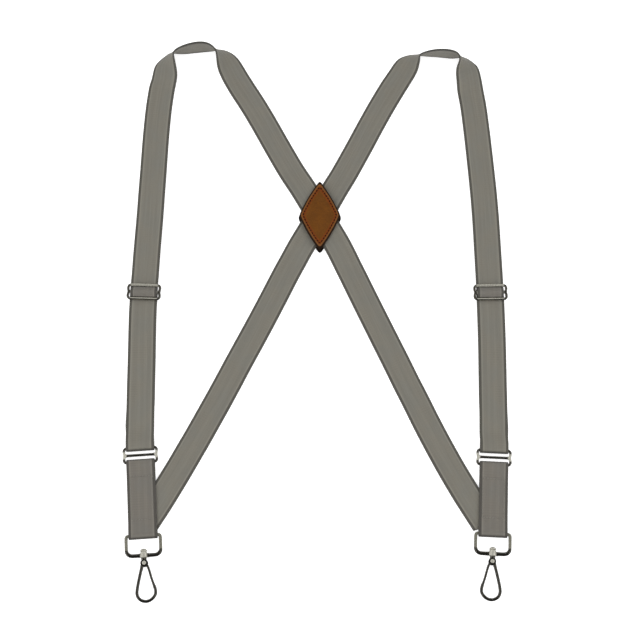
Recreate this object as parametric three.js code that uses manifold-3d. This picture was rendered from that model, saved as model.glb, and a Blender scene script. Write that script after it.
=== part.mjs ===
// Clip-on suspenders with an X back, lying flat, outer face up.
//
// Units are millimetres. +Z is up off the surface, +Y points from the hooks to
// the shoulders, +X to the right. The origin is the centre of the footprint, on
// the surface. Each shoulder strap is one length of 25 mm webbing: from the
// lower adjuster ring up the front, over the shoulder standing on its edge,
// down the back through the leather cross patch to the opposite hip.
import * as THREE from 'three';
import Module from 'manifold-3d';

const wasm = await Module();
wasm.setup();

// ---------- driving dimensions ----------
const WEB_W = 25;              // webbing width
const WEB_T = 1.5;             // webbing thickness
const GAP = 0.3;               // clearance between pieces that touch
const SLIDER_WIRE_R = 1.2;     // tri-glide bar radius
const SLIDER_PITCH = 6.7;      // centre bar to outer bar
const SLIDER_HALF_W = 14.55;   // centre line half width
const SLIDER_NOTCH = 0.9;      // how far the waist comes in at the centre bar
const RING_WIRE_R = 1.4;       // D-ring bar radius
const RING_HALF_W = 14.85;     // centre line half width
const RING_DROP = 17.6;        // top bar to bottom bar
const RING_CORNER_R = 5;       // lower corners
const HOOK_DROOP = 2.4;        // degrees: the hook droops onto the surface from the ring's lower bar
const BOSS_R = 3.2;            // swivel barrel on the ring's bottom bar
const STEM_R = 1.4;            // swivel stem
const HOOK_WIRE_R = 1.3;       // hook section radius
const GATE_R = 1.05;           // gate section radius
const PIN_R = 1.2;             // gate pin radius
const PATCH_HALF_H = 34.8;     // leather diamond, half height
const PATCH_HALF_W = 19.2;     // leather diamond, half width
const PATCH_T = 2.0;           // leather thickness
const PATCH_CENTRE = [-0.2, 100.2];
const THREAD_R = 0.25;         // sewing thread as laid, radius
const RING_Z = WEB_T + GAP + RING_WIRE_R;        // top bar height in its cloth loop
const LOWER_Z = WEB_T + GAP + SLIDER_WIRE_R;     // lower adjuster height in its loops
const RETURN_Z = WEB_T / 2;                      // return ply lies on the surface
const MAIN_Z = WEB_T + GAP + WEB_T / 2;          // main ply above the return ply
const UPPER_Z = 2 * (WEB_T + GAP) + SLIDER_WIRE_R; // upper adjuster above both plies

// Centre of the footprint in the layout coordinates used below.
const CENTRE_X = -2.59;
const CENTRE_Y = 10.06;

// Hip assemblies: ring top bar centre, lean of the assembly, length to the
// lower adjuster's centre bar.
const HIPS = {
  left: { bar: [-152.9, -199.3], lean: 4.0, length: 72.0 },
  right: { bar: [149.5, -197.8], lean: -2.86, length: 68.2 },
};
const UPPER = {
  left: { at: [-160.2, 25.5], lean: -2.0 },
  right: { at: [155.1, 25.1], lean: 0.9 },
};

// Front run of each strap above the lower adjuster, centre line, bottom to top.
const FRONT = {
  left: [[-159.0, -108], [-159.3, -94.2], [-159.6, -77.1], [-159.9, -59.9], [-160.1, -42.5], [-160.4, -25],
    [-160.7, -7.4], [-160.8, 10.4], [-160.4, 28.4], [-159.7, 46.5], [-159.1, 64.7], [-158.3, 83.1],
    [-157.5, 101.7], [-156.9, 120.4], [-156.3, 139.2], [-155.8, 158.2], [-155.2, 177.4], [-154.3, 196.8],
    [-153.0, 216.3], [-151.0, 235.0]],
  right: [[153.4, -108], [153.8, -94.2], [154.1, -77.1], [154.4, -59.9], [154.7, -42.5], [155.0, -25],
    [155.1, -7.4], [155.1, 10.4], [154.9, 28.4], [154.6, 46.5], [154.2, 64.7], [153.8, 83.1],
    [153.3, 101.7], [152.5, 120.4], [151.5, 139.2], [150.4, 158.2], [149.1, 177.4], [147.6, 196.8],
    [145.8, 216.3], [143.5, 233.0]],
};
// Shoulder turn: each row is the edge on the surface (x, y) and the raised
// edge (x, y, z), one webbing width apart.
const SHOULDER = {
  left: [
    [-161.8, 247.8, -137.1, 246.0, 4.1], [-159.9, 255.2, -137.0, 249.6, 8.8], [-157.3, 259.6, -137.9, 252.2, 14.4],
    [-153.1, 264.1, -138.8, 255.0, 18.9], [-148.3, 268.2, -139.2, 258.2, 21.5], [-143.8, 271.2, -138.9, 261.6, 22.9],
    [-139.0, 272.6, -136.4, 265.1, 24.1], [-132.6, 273.6, -131.0, 268.0, 24.7], [-124.2, 274.9, -122.6, 270.6, 25.0],
    [-115.5, 276.0, -113.9, 271.6, 25.0], [-108.4, 276.7, -107.1, 270.6, 24.6], [-101.7, 276.9, -101.9, 267.9, 23.7],
    [-95.6, 276.2, -98.8, 264.2, 21.9], [-89.6, 274.5, -97.6, 260.4, 19.2], [-84.1, 271.3, -97.4, 256.6, 15.4],
    [-79.3, 266.4, -96.9, 252.6, 11.4], [-74.3, 258.5, -95.6, 247.2, 6.6], [-69.8, 250.6, -92.3, 240.6, 2.8]],
  right: [
    [154.6, 244.4, 130.6, 238.6, 3.8], [153.3, 252.6, 130.3, 245.0, 6.8], [151.0, 259.2, 130.3, 249.6, 10.6],
    [146.6, 263.8, 131.2, 252.7, 16.4], [140.8, 267.1, 132.2, 255.8, 20.6], [134.8, 268.8, 131.6, 259.6, 23.1],
    [128.3, 269.4, 127.0, 262.6, 24.1], [121.5, 269.9, 120.8, 264.4, 24.6], [114.5, 270.4, 114.2, 264.9, 24.6],
    [107.4, 271.0, 107.3, 264.3, 24.3], [100.6, 271.6, 101.0, 262.7, 23.5], [94.6, 271.9, 96.0, 260.6, 22.2],
    [87.9, 271.7, 93.7, 258.3, 20.3], [81.6, 270.2, 93.4, 256.2, 17.2], [75.9, 266.8, 93.3, 253.4, 12.4],
    [71.2, 261.7, 92.6, 250.4, 7.4], [67.0, 254.9, 89.6, 245.6, 3.0]],
};
// Back run, centre line, from the shoulder down to the opposite hip.
const BACK = {
  left: [[-74.5, 235.0], [-63.3, 216.3], [-52.6, 196.8], [-42.5, 177.4], [-32.3, 158.2], [-21.9, 139.2],
    [-11.2, 120.4], [-0.2, 100.6], [10.2, 82.4], [19.6, 64.7], [28.4, 46.5], [36.6, 28.4], [44.8, 10.4],
    [53.0, -7.4], [61.1, -25], [69.2, -42.5], [77.0, -59.9], [85.1, -77.1], [92.9, -94.2], [101.0, -111.2],
    [109.4, -128.0], [118.0, -144.7], [127.0, -161.3], [136.0, -176.5]],
  right: [[69.4, 235.4], [58.9, 216.3], [48.8, 196.8], [39.2, 177.4], [29.5, 158.2], [19.6, 139.2],
    [9.6, 120.4], [-0.4, 101.4], [-11.0, 82.4], [-20.8, 64.7], [-30.2, 46.5], [-38.8, 28.4], [-47.4, 10.4],
    [-56.1, -7.4], [-64.9, -25], [-73.7, -42.5], [-82.2, -59.9], [-90.8, -77.1], [-99.6, -94.2], [-108.4, -111.2],
    [-117.4, -128.0], [-126.3, -144.7], [-135.4, -161.3], [-142.5, -173.5]],
};
// Last edge of each back run, inside the opposite hip: lower corner, upper corner.
const BACK_END = {
  left: [[131.6, -193.8], [155.6, -187.5]],
  right: [[-141.2, -195.2], [-164.0, -185.4]],
};

// ---------- geometry helpers ----------
const V = (x, y, z) => new THREE.Vector3(x, y, z);
const rad = (d) => (d * Math.PI) / 180;
const smooth = (a, b, x) => {
  const t = Math.min(1, Math.max(0, (x - a) / (b - a)));
  return t * t * (3 - 2 * t);
};

function indexed(positions, triangles) {
  // Signed volume decides the winding, so every face points out.
  let volume = 0;
  const a = V(0, 0, 0), b = V(0, 0, 0), c = V(0, 0, 0);
  for (let i = 0; i < triangles.length; i += 3) {
    a.fromArray(positions, 3 * triangles[i]);
    b.fromArray(positions, 3 * triangles[i + 1]);
    c.fromArray(positions, 3 * triangles[i + 2]);
    volume += a.dot(b.cross(c));
  }
  if (volume < 0) for (let i = 0; i < triangles.length; i += 3) [triangles[i + 1], triangles[i + 2]] = [triangles[i + 2], triangles[i + 1]];
  const g = new THREE.BufferGeometry();
  g.setAttribute('position', new THREE.BufferAttribute(new Float32Array(positions), 3));
  g.setIndex(triangles);
  return g;
}

// A loft through rings of points, closed on itself or capped at both ends.
function loft(rings, closed) {
  const n = rings[0].length;
  const positions = [];
  for (const r of rings) for (const p of r) positions.push(p.x, p.y, p.z);
  const tri = [];
  const m = rings.length;
  for (let i = 0; i < (closed ? m : m - 1); i++) {
    const j = (i + 1) % m;
    for (let k = 0; k < n; k++) {
      const l = (k + 1) % n;
      tri.push(i * n + k, j * n + k, j * n + l, i * n + k, j * n + l, i * n + l);
    }
  }
  if (!closed) {
    for (let k = 1; k < n - 1; k++) {
      tri.push(0, k, k + 1);
      const o = (m - 1) * n;
      tri.push(o, o + k + 1, o + k);
    }
  }
  return indexed(positions, tri);
}

// A bar swept along a path that lies in, or close to, a plane with this normal.
function bar(points, rSide, rUp, { closed = false, sides = 8, up = V(0, 0, 1) } = {}) {
  const m = points.length;
  const rings = points.map((p, i) => {
    const a = closed ? points[(i + m - 1) % m] : points[Math.max(0, i - 1)];
    const b = closed ? points[(i + 1) % m] : points[Math.min(m - 1, i + 1)];
    const t = b.clone().sub(a).normalize();
    const side = t.clone().cross(up).normalize();
    const n = side.clone().cross(t).normalize();
    const ring = [];
    for (let k = 0; k < sides; k++) {
      const q = ((k + 0.5) / sides) * 2 * Math.PI;
      const s = 1 / Math.cos(Math.PI / sides);
      ring.push(p.clone().addScaledVector(side, rSide * s * Math.cos(q)).addScaledVector(n, rUp * s * Math.sin(q)));
    }
    return ring;
  });
  return loft(rings, closed);
}

// Webbing from pairs of edge points. The two faces are half a thickness away.
function webbing(pairs, closed = false) {
  const m = pairs.length;
  const mid = pairs.map(([o, i]) => o.clone().add(i).multiplyScalar(0.5));
  const rings = pairs.map(([o, i], k) => {
    const a = closed ? mid[(k + m - 1) % m] : mid[Math.max(0, k - 1)];
    const b = closed ? mid[(k + 1) % m] : mid[Math.min(m - 1, k + 1)];
    const t = b.clone().sub(a).normalize();
    const w = i.clone().sub(o).normalize();
    const n = w.clone().cross(t).normalize().multiplyScalar(WEB_T / 2);
    return [o.clone().add(n), i.clone().add(n), i.clone().sub(n), o.clone().sub(n)];
  });
  return loft(rings, closed);
}

function solid(geometry) {
  const g = geometry.clone();
  g.deleteAttribute('normal');
  g.deleteAttribute('uv');
  const merged = g.index ? weld(g) : weld(g);
  return new wasm.Manifold(new wasm.Mesh({
    numProp: 3,
    vertProperties: new Float32Array(merged.positions),
    triVerts: new Uint32Array(merged.triangles),
  }));
}

function weld(g) {
  const p = g.attributes.position;
  const index = g.index ? Array.from(g.index.array) : Array.from({ length: p.count }, (_, i) => i);
  const seen = new Map();
  const positions = [];
  const to = [];
  for (let i = 0; i < p.count; i++) {
    const key = [p.getX(i), p.getY(i), p.getZ(i)].map((v) => Math.round(v * 1e4)).join();
    if (!seen.has(key)) {
      seen.set(key, positions.length / 3);
      positions.push(p.getX(i), p.getY(i), p.getZ(i));
    }
    to.push(seen.get(key));
  }
  const triangles = [];
  for (let i = 0; i < index.length; i += 3) {
    const [a, b, c] = [to[index[i]], to[index[i + 1]], to[index[i + 2]]];
    if (a !== b && b !== c && c !== a) triangles.push(a, b, c);
  }
  return { positions, triangles };
}

function geometry(manifold) {
  const m = manifold.getMesh();
  const g = new THREE.BufferGeometry();
  g.setAttribute('position', new THREE.BufferAttribute(new Float32Array(m.vertProperties), 3));
  g.setIndex(Array.from(m.triVerts));
  return g;
}

const moved = (g, x, y, z) => g.clone().translate(x, y, z);
const turnedToZ = (g) => g.clone().rotateX(Math.PI / 2);

const materials = {
  webbing: { color: 0x7f7c73, roughness: 0.92, metalness: 0 },
  leather: { color: 0x6a4320, roughness: 0.55, metalness: 0 },
  leather_dark: { color: 0x2b1a10, roughness: 0.6, metalness: 0 },
  nickel: { color: 0xb9b6ab, roughness: 0.18, metalness: 1 },
  thread: { color: 0x4a2c14, roughness: 0.8, metalness: 0 },
  thread_grey: { color: 0x77746b, roughness: 0.9, metalness: 0 },
};
function mesh(name, g, material) {
  g.computeVertexNormals();
  const out = new THREE.Mesh(g, new THREE.MeshStandardMaterial(materials[material]));
  out.name = name;
  return out;
}

// ---------- webbing runs ----------
// A flat station: centre, heading (unit x, y) and height give the edge pair.
// side is +1 where the edge on the surface at the shoulder is on the left.
function flatPair(x, y, z, dx, dy, side) {
  const h = WEB_W / 2;
  const nx = -dy * side, ny = dx * side;
  return [V(x + nx * h, y + ny * h, z), V(x - nx * h, y - ny * h, z)];
}

function resample(points, step) {
  const curve = new THREE.CatmullRomCurve3(points.map(([x, y]) => V(x, y, 0)), false, 'centripetal');
  const n = Math.max(2, Math.round(curve.getLength() / step));
  const out = [];
  for (let i = 0; i <= n; i++) {
    const p = curve.getPointAt(i / n);
    const t = curve.getTangentAt(i / n);
    out.push([p.x, p.y, t.x, t.y]);
  }
  return out;
}

function strapPairs(side) {
  const s = side === 'left' ? 1 : -1;
  const hip = HIPS[side];
  const lean = rad(hip.lean);
  const up = [-Math.sin(lean), Math.cos(lean)];
  const barC = [hip.bar[0] + up[0] * (hip.length + SLIDER_PITCH), hip.bar[1] + up[1] * (hip.length + SLIDER_PITCH)];
  const pairs = [];
  const R = SLIDER_WIRE_R + GAP + WEB_T / 2;
  // Return side, downwards to the bar.
  for (const d of [22, 15, 8, 3]) pairs.push(flatPair(barC[0] + up[0] * d, barC[1] + up[1] * d, LOWER_Z - R, up[0], up[1], s));
  // Round the bar.
  for (let k = 0; k <= 8; k++) {
    const q = -Math.PI / 2 - (k / 8) * Math.PI;
    const d = R * Math.cos(q), z = LOWER_Z + R * Math.sin(q);
    pairs.push(flatPair(barC[0] + up[0] * d, barC[1] + up[1] * d, z, up[0], up[1], s));
  }
  pairs.push(flatPair(barC[0] + up[0] * 2.5, barC[1] + up[1] * 2.5, LOWER_Z + R, up[0], up[1], s));
  // Up the front: over the return ply, then down to the surface above the upper adjuster.
  const start = [barC[0] + up[0] * 5.5, barC[1] + up[1] * 5.5];
  const front = resample([start, ...FRONT[side]], 9.5);
  const y0 = barC[1], yTop = UPPER[side].at[1];
  for (const [x, y, dx, dy] of front) {
    let z = MAIN_Z + (LOWER_Z + R - MAIN_Z) * (1 - smooth(y0 + 3, y0 + 17, y));
    z += (WEB_T / 2 - MAIN_Z) * smooth(yTop + 10, yTop + 36, y);
    pairs.push(flatPair(x, y, z, dx, dy, s));
  }
  // Shoulder turn.
  const rows = SHOULDER[side];
  const outer = new THREE.CatmullRomCurve3(rows.map((r) => V(r[0], r[1], 0)), false, 'centripetal');
  const inner = new THREE.CatmullRomCurve3(rows.map((r) => V(r[2], r[3], r[4])), false, 'centripetal');
  const steps = (rows.length - 1) * 2;
  for (let i = 0; i <= steps; i++) {
    const o = outer.getPoint(i / steps), e = inner.getPoint(i / steps);
    const flat = Math.hypot(e.x - o.x, e.y - o.y) / WEB_W;
    o.z = (WEB_T / 2) * Math.min(1, flat) + 0.02;
    e.z = Math.max(e.z, WEB_T / 2);
    const w = e.clone().sub(o).setLength(WEB_W);
    pairs.push([o, o.clone().add(w)]);
  }
  // Down the back, over the patch, to the opposite hip.
  const back = resample(BACK[side], 8);
  const top = side === 'left' ? 2 : 1;           // which strap lies on top at the cross
  const crossZ = PATCH_T + GAP + (top - 1) * (WEB_T + GAP) + WEB_T / 2;
  const rise = top === 2 ? [30, 60] : [30, 52];
  const endY = BACK_END[side][0][1];
  for (const [x, y, dx, dy] of back) {
    const r = Math.hypot(x - PATCH_CENTRE[0], y - PATCH_CENTRE[1]);
    let z = WEB_T / 2 + (crossZ - WEB_T / 2) * (1 - smooth(rise[0], rise[1], r));
    z += (MAIN_Z - WEB_T / 2) * (1 - smooth(endY + 34, endY + 64, y));
    pairs.push(flatPair(x, y, z, dx, dy, s));
  }
  const [lo, hi] = BACK_END[side];
  pairs.push([V(hi[0], hi[1], MAIN_Z), V(lo[0], lo[1], MAIN_Z)]);
  return pairs;
}

function returnPly(side) {
  const s = side === 'left' ? 1 : -1;
  const hip = HIPS[side];
  const lean = rad(hip.lean);
  const up = [-Math.sin(lean), Math.cos(lean)];
  const d0 = hip.length + SLIDER_PITCH + 22 + GAP;
  const start = [hip.bar[0] + up[0] * d0, hip.bar[1] + up[1] * d0];
  const path = FRONT[side].filter(([, y]) => y > start[1] + 8 && y < UPPER[side].at[1] - 4);
  const end = [UPPER[side].at[0] * 0.5 + FRONT[side][8][0] * 0.5, UPPER[side].at[1] + 3];
  const run = resample([start, ...path, end], 12).map(([x, y, dx, dy]) => flatPair(x, y, RETURN_Z, dx, dy, s));
  run[0] = flatPair(start[0], start[1], RETURN_Z, up[0], up[1], s);
  return webbing(run);
}

// Short hump of webbing over the upper adjuster's centre bar, in the
// adjuster's own frame (X along the bars, Y up the strap).
function humpPly() {
  const R = SLIDER_WIRE_R + GAP + WEB_T / 2;
  const half = 12.0;
  const low = 2 * (WEB_T + GAP) + WEB_T / 2 - UPPER_Z;
  const pts = [[-4.35, low], [-3.6, low + 0.5]];
  for (let k = 0; k <= 6; k++) {
    const q = Math.PI * (0.93 - 0.86 * (k / 6));
    pts.push([R * 1.12 * Math.cos(q), R * Math.sin(q)]);
  }
  pts.push([3.6, low + 0.5], [4.35, low]);
  return webbing(pts.map(([y, z]) => [V(-half, y, z), V(half, y, z)]));
}

// Folded hip webbing: one closed band round the ring's top bar and the lower
// adjuster's bottom bar. Frame: Y up the strap from the ring bar, Z height.
function hipBand(length) {
  const rr = RING_WIRE_R + GAP + WEB_T / 2;
  const rs = SLIDER_WIRE_R + GAP + WEB_T / 2;
  const topY = length - SLIDER_PITCH;
  const upper = 2 * (WEB_T + GAP) + WEB_T / 2;
  const pts = [];
  for (let k = 0; k <= 8; k++) {
    const q = Math.PI / 2 + (k / 8) * Math.PI;
    pts.push([rr * Math.cos(q), RING_Z + rr * Math.sin(q)]);
  }
  for (const f of [0.15, 0.4, 0.7, 0.9]) pts.push([f * topY, WEB_T / 2]);
  for (let k = 0; k <= 8; k++) {
    const q = -Math.PI / 2 + (k / 8) * Math.PI;
    pts.push([topY + rs * Math.cos(q), LOWER_Z + rs * Math.sin(q)]);
  }
  const down = (y) => {
    const a = LOWER_Z + rs, b = RING_Z + rr;
    return upper + (a - upper) * smooth(topY - 12, topY - 1, y) + (b - upper) * (1 - smooth(1, 12, y));
  };
  for (const y of [topY - 2, topY - 5, topY - 8, topY - 11, topY - 14, topY * 0.5, 14, 11, 8, 5, 2]) pts.push([y, down(y)]);
  return webbing(pts.map(([y, z]) => [V(-WEB_W / 2, y, z), V(WEB_W / 2, y, z)]), true);
}

// ---------- hardware, each in its own frame ----------
function arc(cx, cy, r, a0, a1, n) {
  const out = [];
  for (let i = 0; i <= n; i++) {
    const q = rad(a0 + ((a1 - a0) * i) / n);
    out.push(V(cx + r * Math.cos(q), cy + r * Math.sin(q), 0));
  }
  return out;
}

function triGlide() {
  const w = SLIDER_HALF_W, h = SLIDER_PITCH, c = 2.4;
  const path = [
    ...arc(w - c, h - c, c, 90, 0, 4), V(w - 0.25, 2.0, 0), V(w - SLIDER_NOTCH, 0, 0), V(w - 0.25, -2.0, 0),
    ...arc(w - c, -h + c, c, 0, -90, 4), V(0, -h, 0),
    ...arc(-w + c, -h + c, c, -90, -180, 4), V(-w + 0.25, -2.0, 0), V(-w + SLIDER_NOTCH, 0, 0), V(-w + 0.25, 2.0, 0),
    ...arc(-w + c, h - c, c, 180, 90, 4), V(0, h, 0),
  ];
  const frame = solid(bar(path, SLIDER_WIRE_R, SLIDER_WIRE_R, { closed: true }));
  const centre = solid(bar([V(-w + SLIDER_NOTCH, 0, 0), V(w - SLIDER_NOTCH, 0, 0)], SLIDER_WIRE_R, SLIDER_WIRE_R));
  return geometry(frame.add(centre));
}

const BOSS_TOP = -RING_DROP + 3.4;
const BOSS_BOTTOM = -RING_DROP - 1.9;
function dRing() {
  const w = RING_HALF_W, c = RING_CORNER_R, e = 1.5;
  const path = [
    ...arc(w - e, -e, e, 90, 0, 3), V(w, -RING_DROP * 0.4, 0),
    ...arc(w - c, -RING_DROP + c, c, 0, -90, 5), V(5, -RING_DROP, 0), V(-5, -RING_DROP, 0),
    ...arc(-w + c, -RING_DROP + c, c, -90, -180, 5), V(-w, -RING_DROP * 0.4, 0),
    ...arc(-w + e, -e, e, 180, 90, 3), V(0, 0, 0),
  ];
  const ring = solid(bar(path, RING_WIRE_R, RING_WIRE_R, { closed: true }));
  const profile = [[0, BOSS_BOTTOM], [2.7, BOSS_BOTTOM], [BOSS_R, BOSS_BOTTOM + 0.6], [BOSS_R, -RING_DROP],
    [BOSS_R - 0.25, BOSS_TOP - 1.2], [2.5, BOSS_TOP], [0, BOSS_TOP]];
  const boss = solid(new THREE.LatheGeometry(profile.map(([x, y]) => new THREE.Vector2(x, y)), 16));
  const bore = solid(moved(new THREE.CylinderGeometry(STEM_R + GAP, STEM_R + GAP, 12, 16), 0, -RING_DROP, 0));
  return geometry(ring.add(boss).subtract(bore));
}

const HEAD_Y = BOSS_TOP + GAP;
const NECK_TOP = BOSS_BOTTOM - GAP;
const STEM_END = NECK_TOP - 1.4;
function swivelStem() {
  const profile = [[0, STEM_END], [STEM_R, STEM_END], [STEM_R, HEAD_Y], [2.9, HEAD_Y], [2.9, HEAD_Y + 0.5],
    [2.3, HEAD_Y + 1.5], [1.3, HEAD_Y + 2.1], [0, HEAD_Y + 2.3]];
  return new THREE.LatheGeometry(profile.map(([x, y]) => new THREE.Vector2(x, y)), 16);
}

const PIN_AT = [0.2, -24.2];
const EYE_R = 3.2;
function hookBody() {
  const wire = new THREE.CatmullRomCurve3([
    [-1.2, -25.2], [-2.3, -28.4], [-4.9, -38.3], [-6.7, -46.5], [-7.0, -50.4], [-5.4, -54.4], [-1.8, -56.7],
    [2.2, -56.9], [6.0, -55.0], [8.5, -51.8], [9.0, -48.6], [8.1, -44.3]].map(([x, y]) => V(x, y, 0)), false, 'centripetal');
  const hook = solid(bar(wire.getPoints(30), HOOK_WIRE_R, HOOK_WIRE_R + 0.15));
  const neck = solid(moved(new THREE.CylinderGeometry(2.3, 2.5, 3.4, 16), 0, NECK_TOP - 1.7, 0));
  const eye = solid(moved(turnedToZ(new THREE.CylinderGeometry(EYE_R, EYE_R, 4.6, 20)), ...PIN_AT, 0));
  const bore = solid(moved(new THREE.CylinderGeometry(STEM_R + GAP, STEM_R + GAP, 4, 16), 0, STEM_END - GAP + 2, 0));
  const well = solid(moved(turnedToZ(new THREE.CylinderGeometry(2.5, 2.5, 3.0, 20)), ...PIN_AT, 0));
  const mouth = solid(moved(new THREE.BoxGeometry(6.0, 6.3, 3.0), 2.2, -26.0, 0));
  const pinHole = solid(moved(turnedToZ(new THREE.CylinderGeometry(PIN_R + GAP, PIN_R + GAP, 8, 16)), ...PIN_AT, 0));
  return geometry(hook.add(neck).add(eye).subtract(bore).subtract(well).subtract(mouth).subtract(pinHole));
}

function gate() {
  const path = new THREE.CatmullRomCurve3([
    [2.75, -26.6], [3.6, -28.6], [4.6, -32.2], [5.9, -37.6], [7.7, -43.45]].map(([x, y]) => V(x, y, 0)), false, 'centripetal');
  const arm = solid(bar(path.getPoints(12), GATE_R, GATE_R + 0.1));
  const knuckle = solid(moved(turnedToZ(new THREE.CylinderGeometry(2.2, 2.2, 1.4, 20)), ...PIN_AT, -0.5));
  const web = solid(bar([V(1.5, -25.2, -0.5), V(3.4, -28.0, -0.5)], 0.95, 0.7, { sides: 4 }));
  const hole = solid(moved(turnedToZ(new THREE.CylinderGeometry(PIN_R + GAP, PIN_R + GAP, 8, 16)), ...PIN_AT, 0));
  return geometry(arm.add(web).add(knuckle).subtract(hole));
}

function gatePin() {
  return moved(turnedToZ(new THREE.CylinderGeometry(PIN_R, PIN_R, 4.6, 16)), ...PIN_AT, 0);
}

// Torsion coil beside the gate's knuckle.
function gateSpring() {
  const pts = [];
  const n = 30;
  for (let i = 0; i <= n; i++) {
    const q = (i / n) * 2 * Math.PI * 1.75;
    pts.push(V(PIN_AT[0] + 1.85 * Math.cos(q), PIN_AT[1] + 1.85 * Math.sin(q), 0.68 + (0.58 * i) / n));
  }
  return bar(pts, 0.14, 0.11, { sides: 6 });
}

// ---------- leather and thread ----------
function diamondOutline(halfW, halfH, bulge, tip) {
  const corners = [[0, halfH], [halfW, 0], [0, -halfH], [-halfW, 0]];
  const out = [];
  for (let k = 0; k < 4; k++) {
    const a = corners[k], b = corners[(k + 1) % 4];
    const dx = b[0] - a[0], dy = b[1] - a[1], l = Math.hypot(dx, dy);
    const nx = -dy / l * -1, ny = dx / l * -1;
    const side = (a[0] + b[0]) * nx + (a[1] + b[1]) * ny > 0 ? 1 : -1;
    for (let i = 0; i <= 6; i++) {
      const f = tip / l + (1 - (2 * tip) / l) * (i / 6);
      const bow = bulge * 4 * f * (1 - f) * side;
      out.push([a[0] + dx * f + nx * bow, a[1] + dy * f + ny * bow]);
    }
  }
  return out;
}

function diamond(halfW, halfH, z0) {
  const shape = new THREE.Shape(diamondOutline(halfW, halfH, 1.3, 1.4).map(([x, y]) => new THREE.Vector2(x, y)));
  const g = new THREE.ExtrudeGeometry(shape, { depth: PATCH_T, bevelEnabled: false });
  const w = weld(g.translate(0, 0, z0));
  return indexed(w.positions, w.triangles);
}

function threadLoop(outline, z) {
  return bar(outline.map(([x, y]) => V(x, y, z)), THREAD_R, THREAD_R, { closed: true, sides: 4 });
}

// ---------- assembly ----------
const suspenders = new THREE.Group();
const layout = new THREE.Group();
layout.position.set(-CENTRE_X, -CENTRE_Y, 0);
suspenders.add(layout);

for (const side of ['left', 'right']) {
  layout.add(mesh(`strap_${side}`, webbing(strapPairs(side)), 'webbing'));
  layout.add(mesh(`strap_return_${side}`, returnPly(side), 'webbing'));

  const upper = new THREE.Group();
  upper.position.set(UPPER[side].at[0], UPPER[side].at[1], UPPER_Z);
  upper.rotation.z = rad(UPPER[side].lean);
  upper.add(mesh(`slider_upper_${side}`, triGlide(), 'nickel'));
  upper.add(mesh(`strap_hump_${side}`, humpPly(), 'webbing'));
  layout.add(upper);

  const hip = new THREE.Group();
  hip.position.set(HIPS[side].bar[0], HIPS[side].bar[1], 0);
  hip.rotation.z = rad(HIPS[side].lean);
  layout.add(hip);
  hip.add(mesh(`hip_strap_${side}`, hipBand(HIPS[side].length), 'webbing'));
  const lower = mesh(`slider_lower_${side}`, triGlide(), 'nickel');
  lower.position.set(0, HIPS[side].length, LOWER_Z);
  hip.add(lower);
  const seamZ = 2 * (WEB_T + GAP) + WEB_T + GAP + THREAD_R;
  const b = HIPS[side].length - SLIDER_PITCH - 16;
  hip.add(mesh(`hip_seam_${side}`, threadLoop([[-10, 15], [10, 15], [10, b], [-10, b]], seamZ), 'thread_grey'));

  const ring = new THREE.Group();
  ring.position.z = RING_Z;
  hip.add(ring);
  ring.add(mesh(`d_ring_${side}`, dRing(), 'nickel'));
  const droop = new THREE.Group();
  droop.position.y = -RING_DROP;
  droop.rotation.x = rad(HOOK_DROOP);
  ring.add(droop);
  const hook = new THREE.Group();
  if (side === 'right') hook.rotation.y = Math.PI;
  const unshift = new THREE.Group();
  unshift.position.y = RING_DROP;
  hook.add(unshift);
  droop.add(hook);
  unshift.add(mesh(`swivel_stem_${side}`, swivelStem(), 'nickel'));
  unshift.add(mesh(`hook_${side}`, hookBody(), 'nickel'));
  unshift.add(mesh(`gate_${side}`, gate(), 'nickel'));
  unshift.add(mesh(`gate_pin_${side}`, gatePin(), 'nickel'));
  unshift.add(mesh(`gate_spring_${side}`, gateSpring(), 'nickel'));
}

const patch = new THREE.Group();
patch.position.set(PATCH_CENTRE[0], PATCH_CENTRE[1], 0);
layout.add(patch);
const frontZ = PATCH_T + 2 * (WEB_T + GAP) + GAP;
patch.add(mesh('patch_back', diamond(PATCH_HALF_W + 0.4, PATCH_HALF_H + 0.4, 0), 'leather_dark'));
patch.add(mesh('patch_front', diamond(PATCH_HALF_W, PATCH_HALF_H, frontZ), 'leather'));
patch.add(mesh('patch_seam', threadLoop(diamondOutline(PATCH_HALF_W - 3.4, PATCH_HALF_H - 5.6, 1.0, 0.8),
  frontZ + PATCH_T + GAP + THREAD_R), 'thread'));

export default suspenders;
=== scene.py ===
import math
import random

import bpy
import numpy as np
from mathutils import Matrix, Vector


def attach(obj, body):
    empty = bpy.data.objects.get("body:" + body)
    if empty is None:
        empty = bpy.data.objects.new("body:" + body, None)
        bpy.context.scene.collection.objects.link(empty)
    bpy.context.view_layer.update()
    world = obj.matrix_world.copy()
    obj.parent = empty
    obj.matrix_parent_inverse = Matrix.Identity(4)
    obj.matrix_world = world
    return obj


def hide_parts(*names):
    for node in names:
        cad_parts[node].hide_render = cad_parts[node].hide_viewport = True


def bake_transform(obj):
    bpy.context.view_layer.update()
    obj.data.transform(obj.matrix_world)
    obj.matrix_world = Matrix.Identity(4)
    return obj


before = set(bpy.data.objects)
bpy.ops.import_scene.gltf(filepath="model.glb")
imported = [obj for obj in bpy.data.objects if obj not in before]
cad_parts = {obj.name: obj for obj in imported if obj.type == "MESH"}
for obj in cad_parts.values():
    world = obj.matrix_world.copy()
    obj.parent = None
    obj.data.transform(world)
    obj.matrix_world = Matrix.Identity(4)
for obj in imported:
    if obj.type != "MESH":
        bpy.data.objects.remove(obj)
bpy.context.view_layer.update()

random.seed(7)
rng = np.random.default_rng(11)

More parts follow.
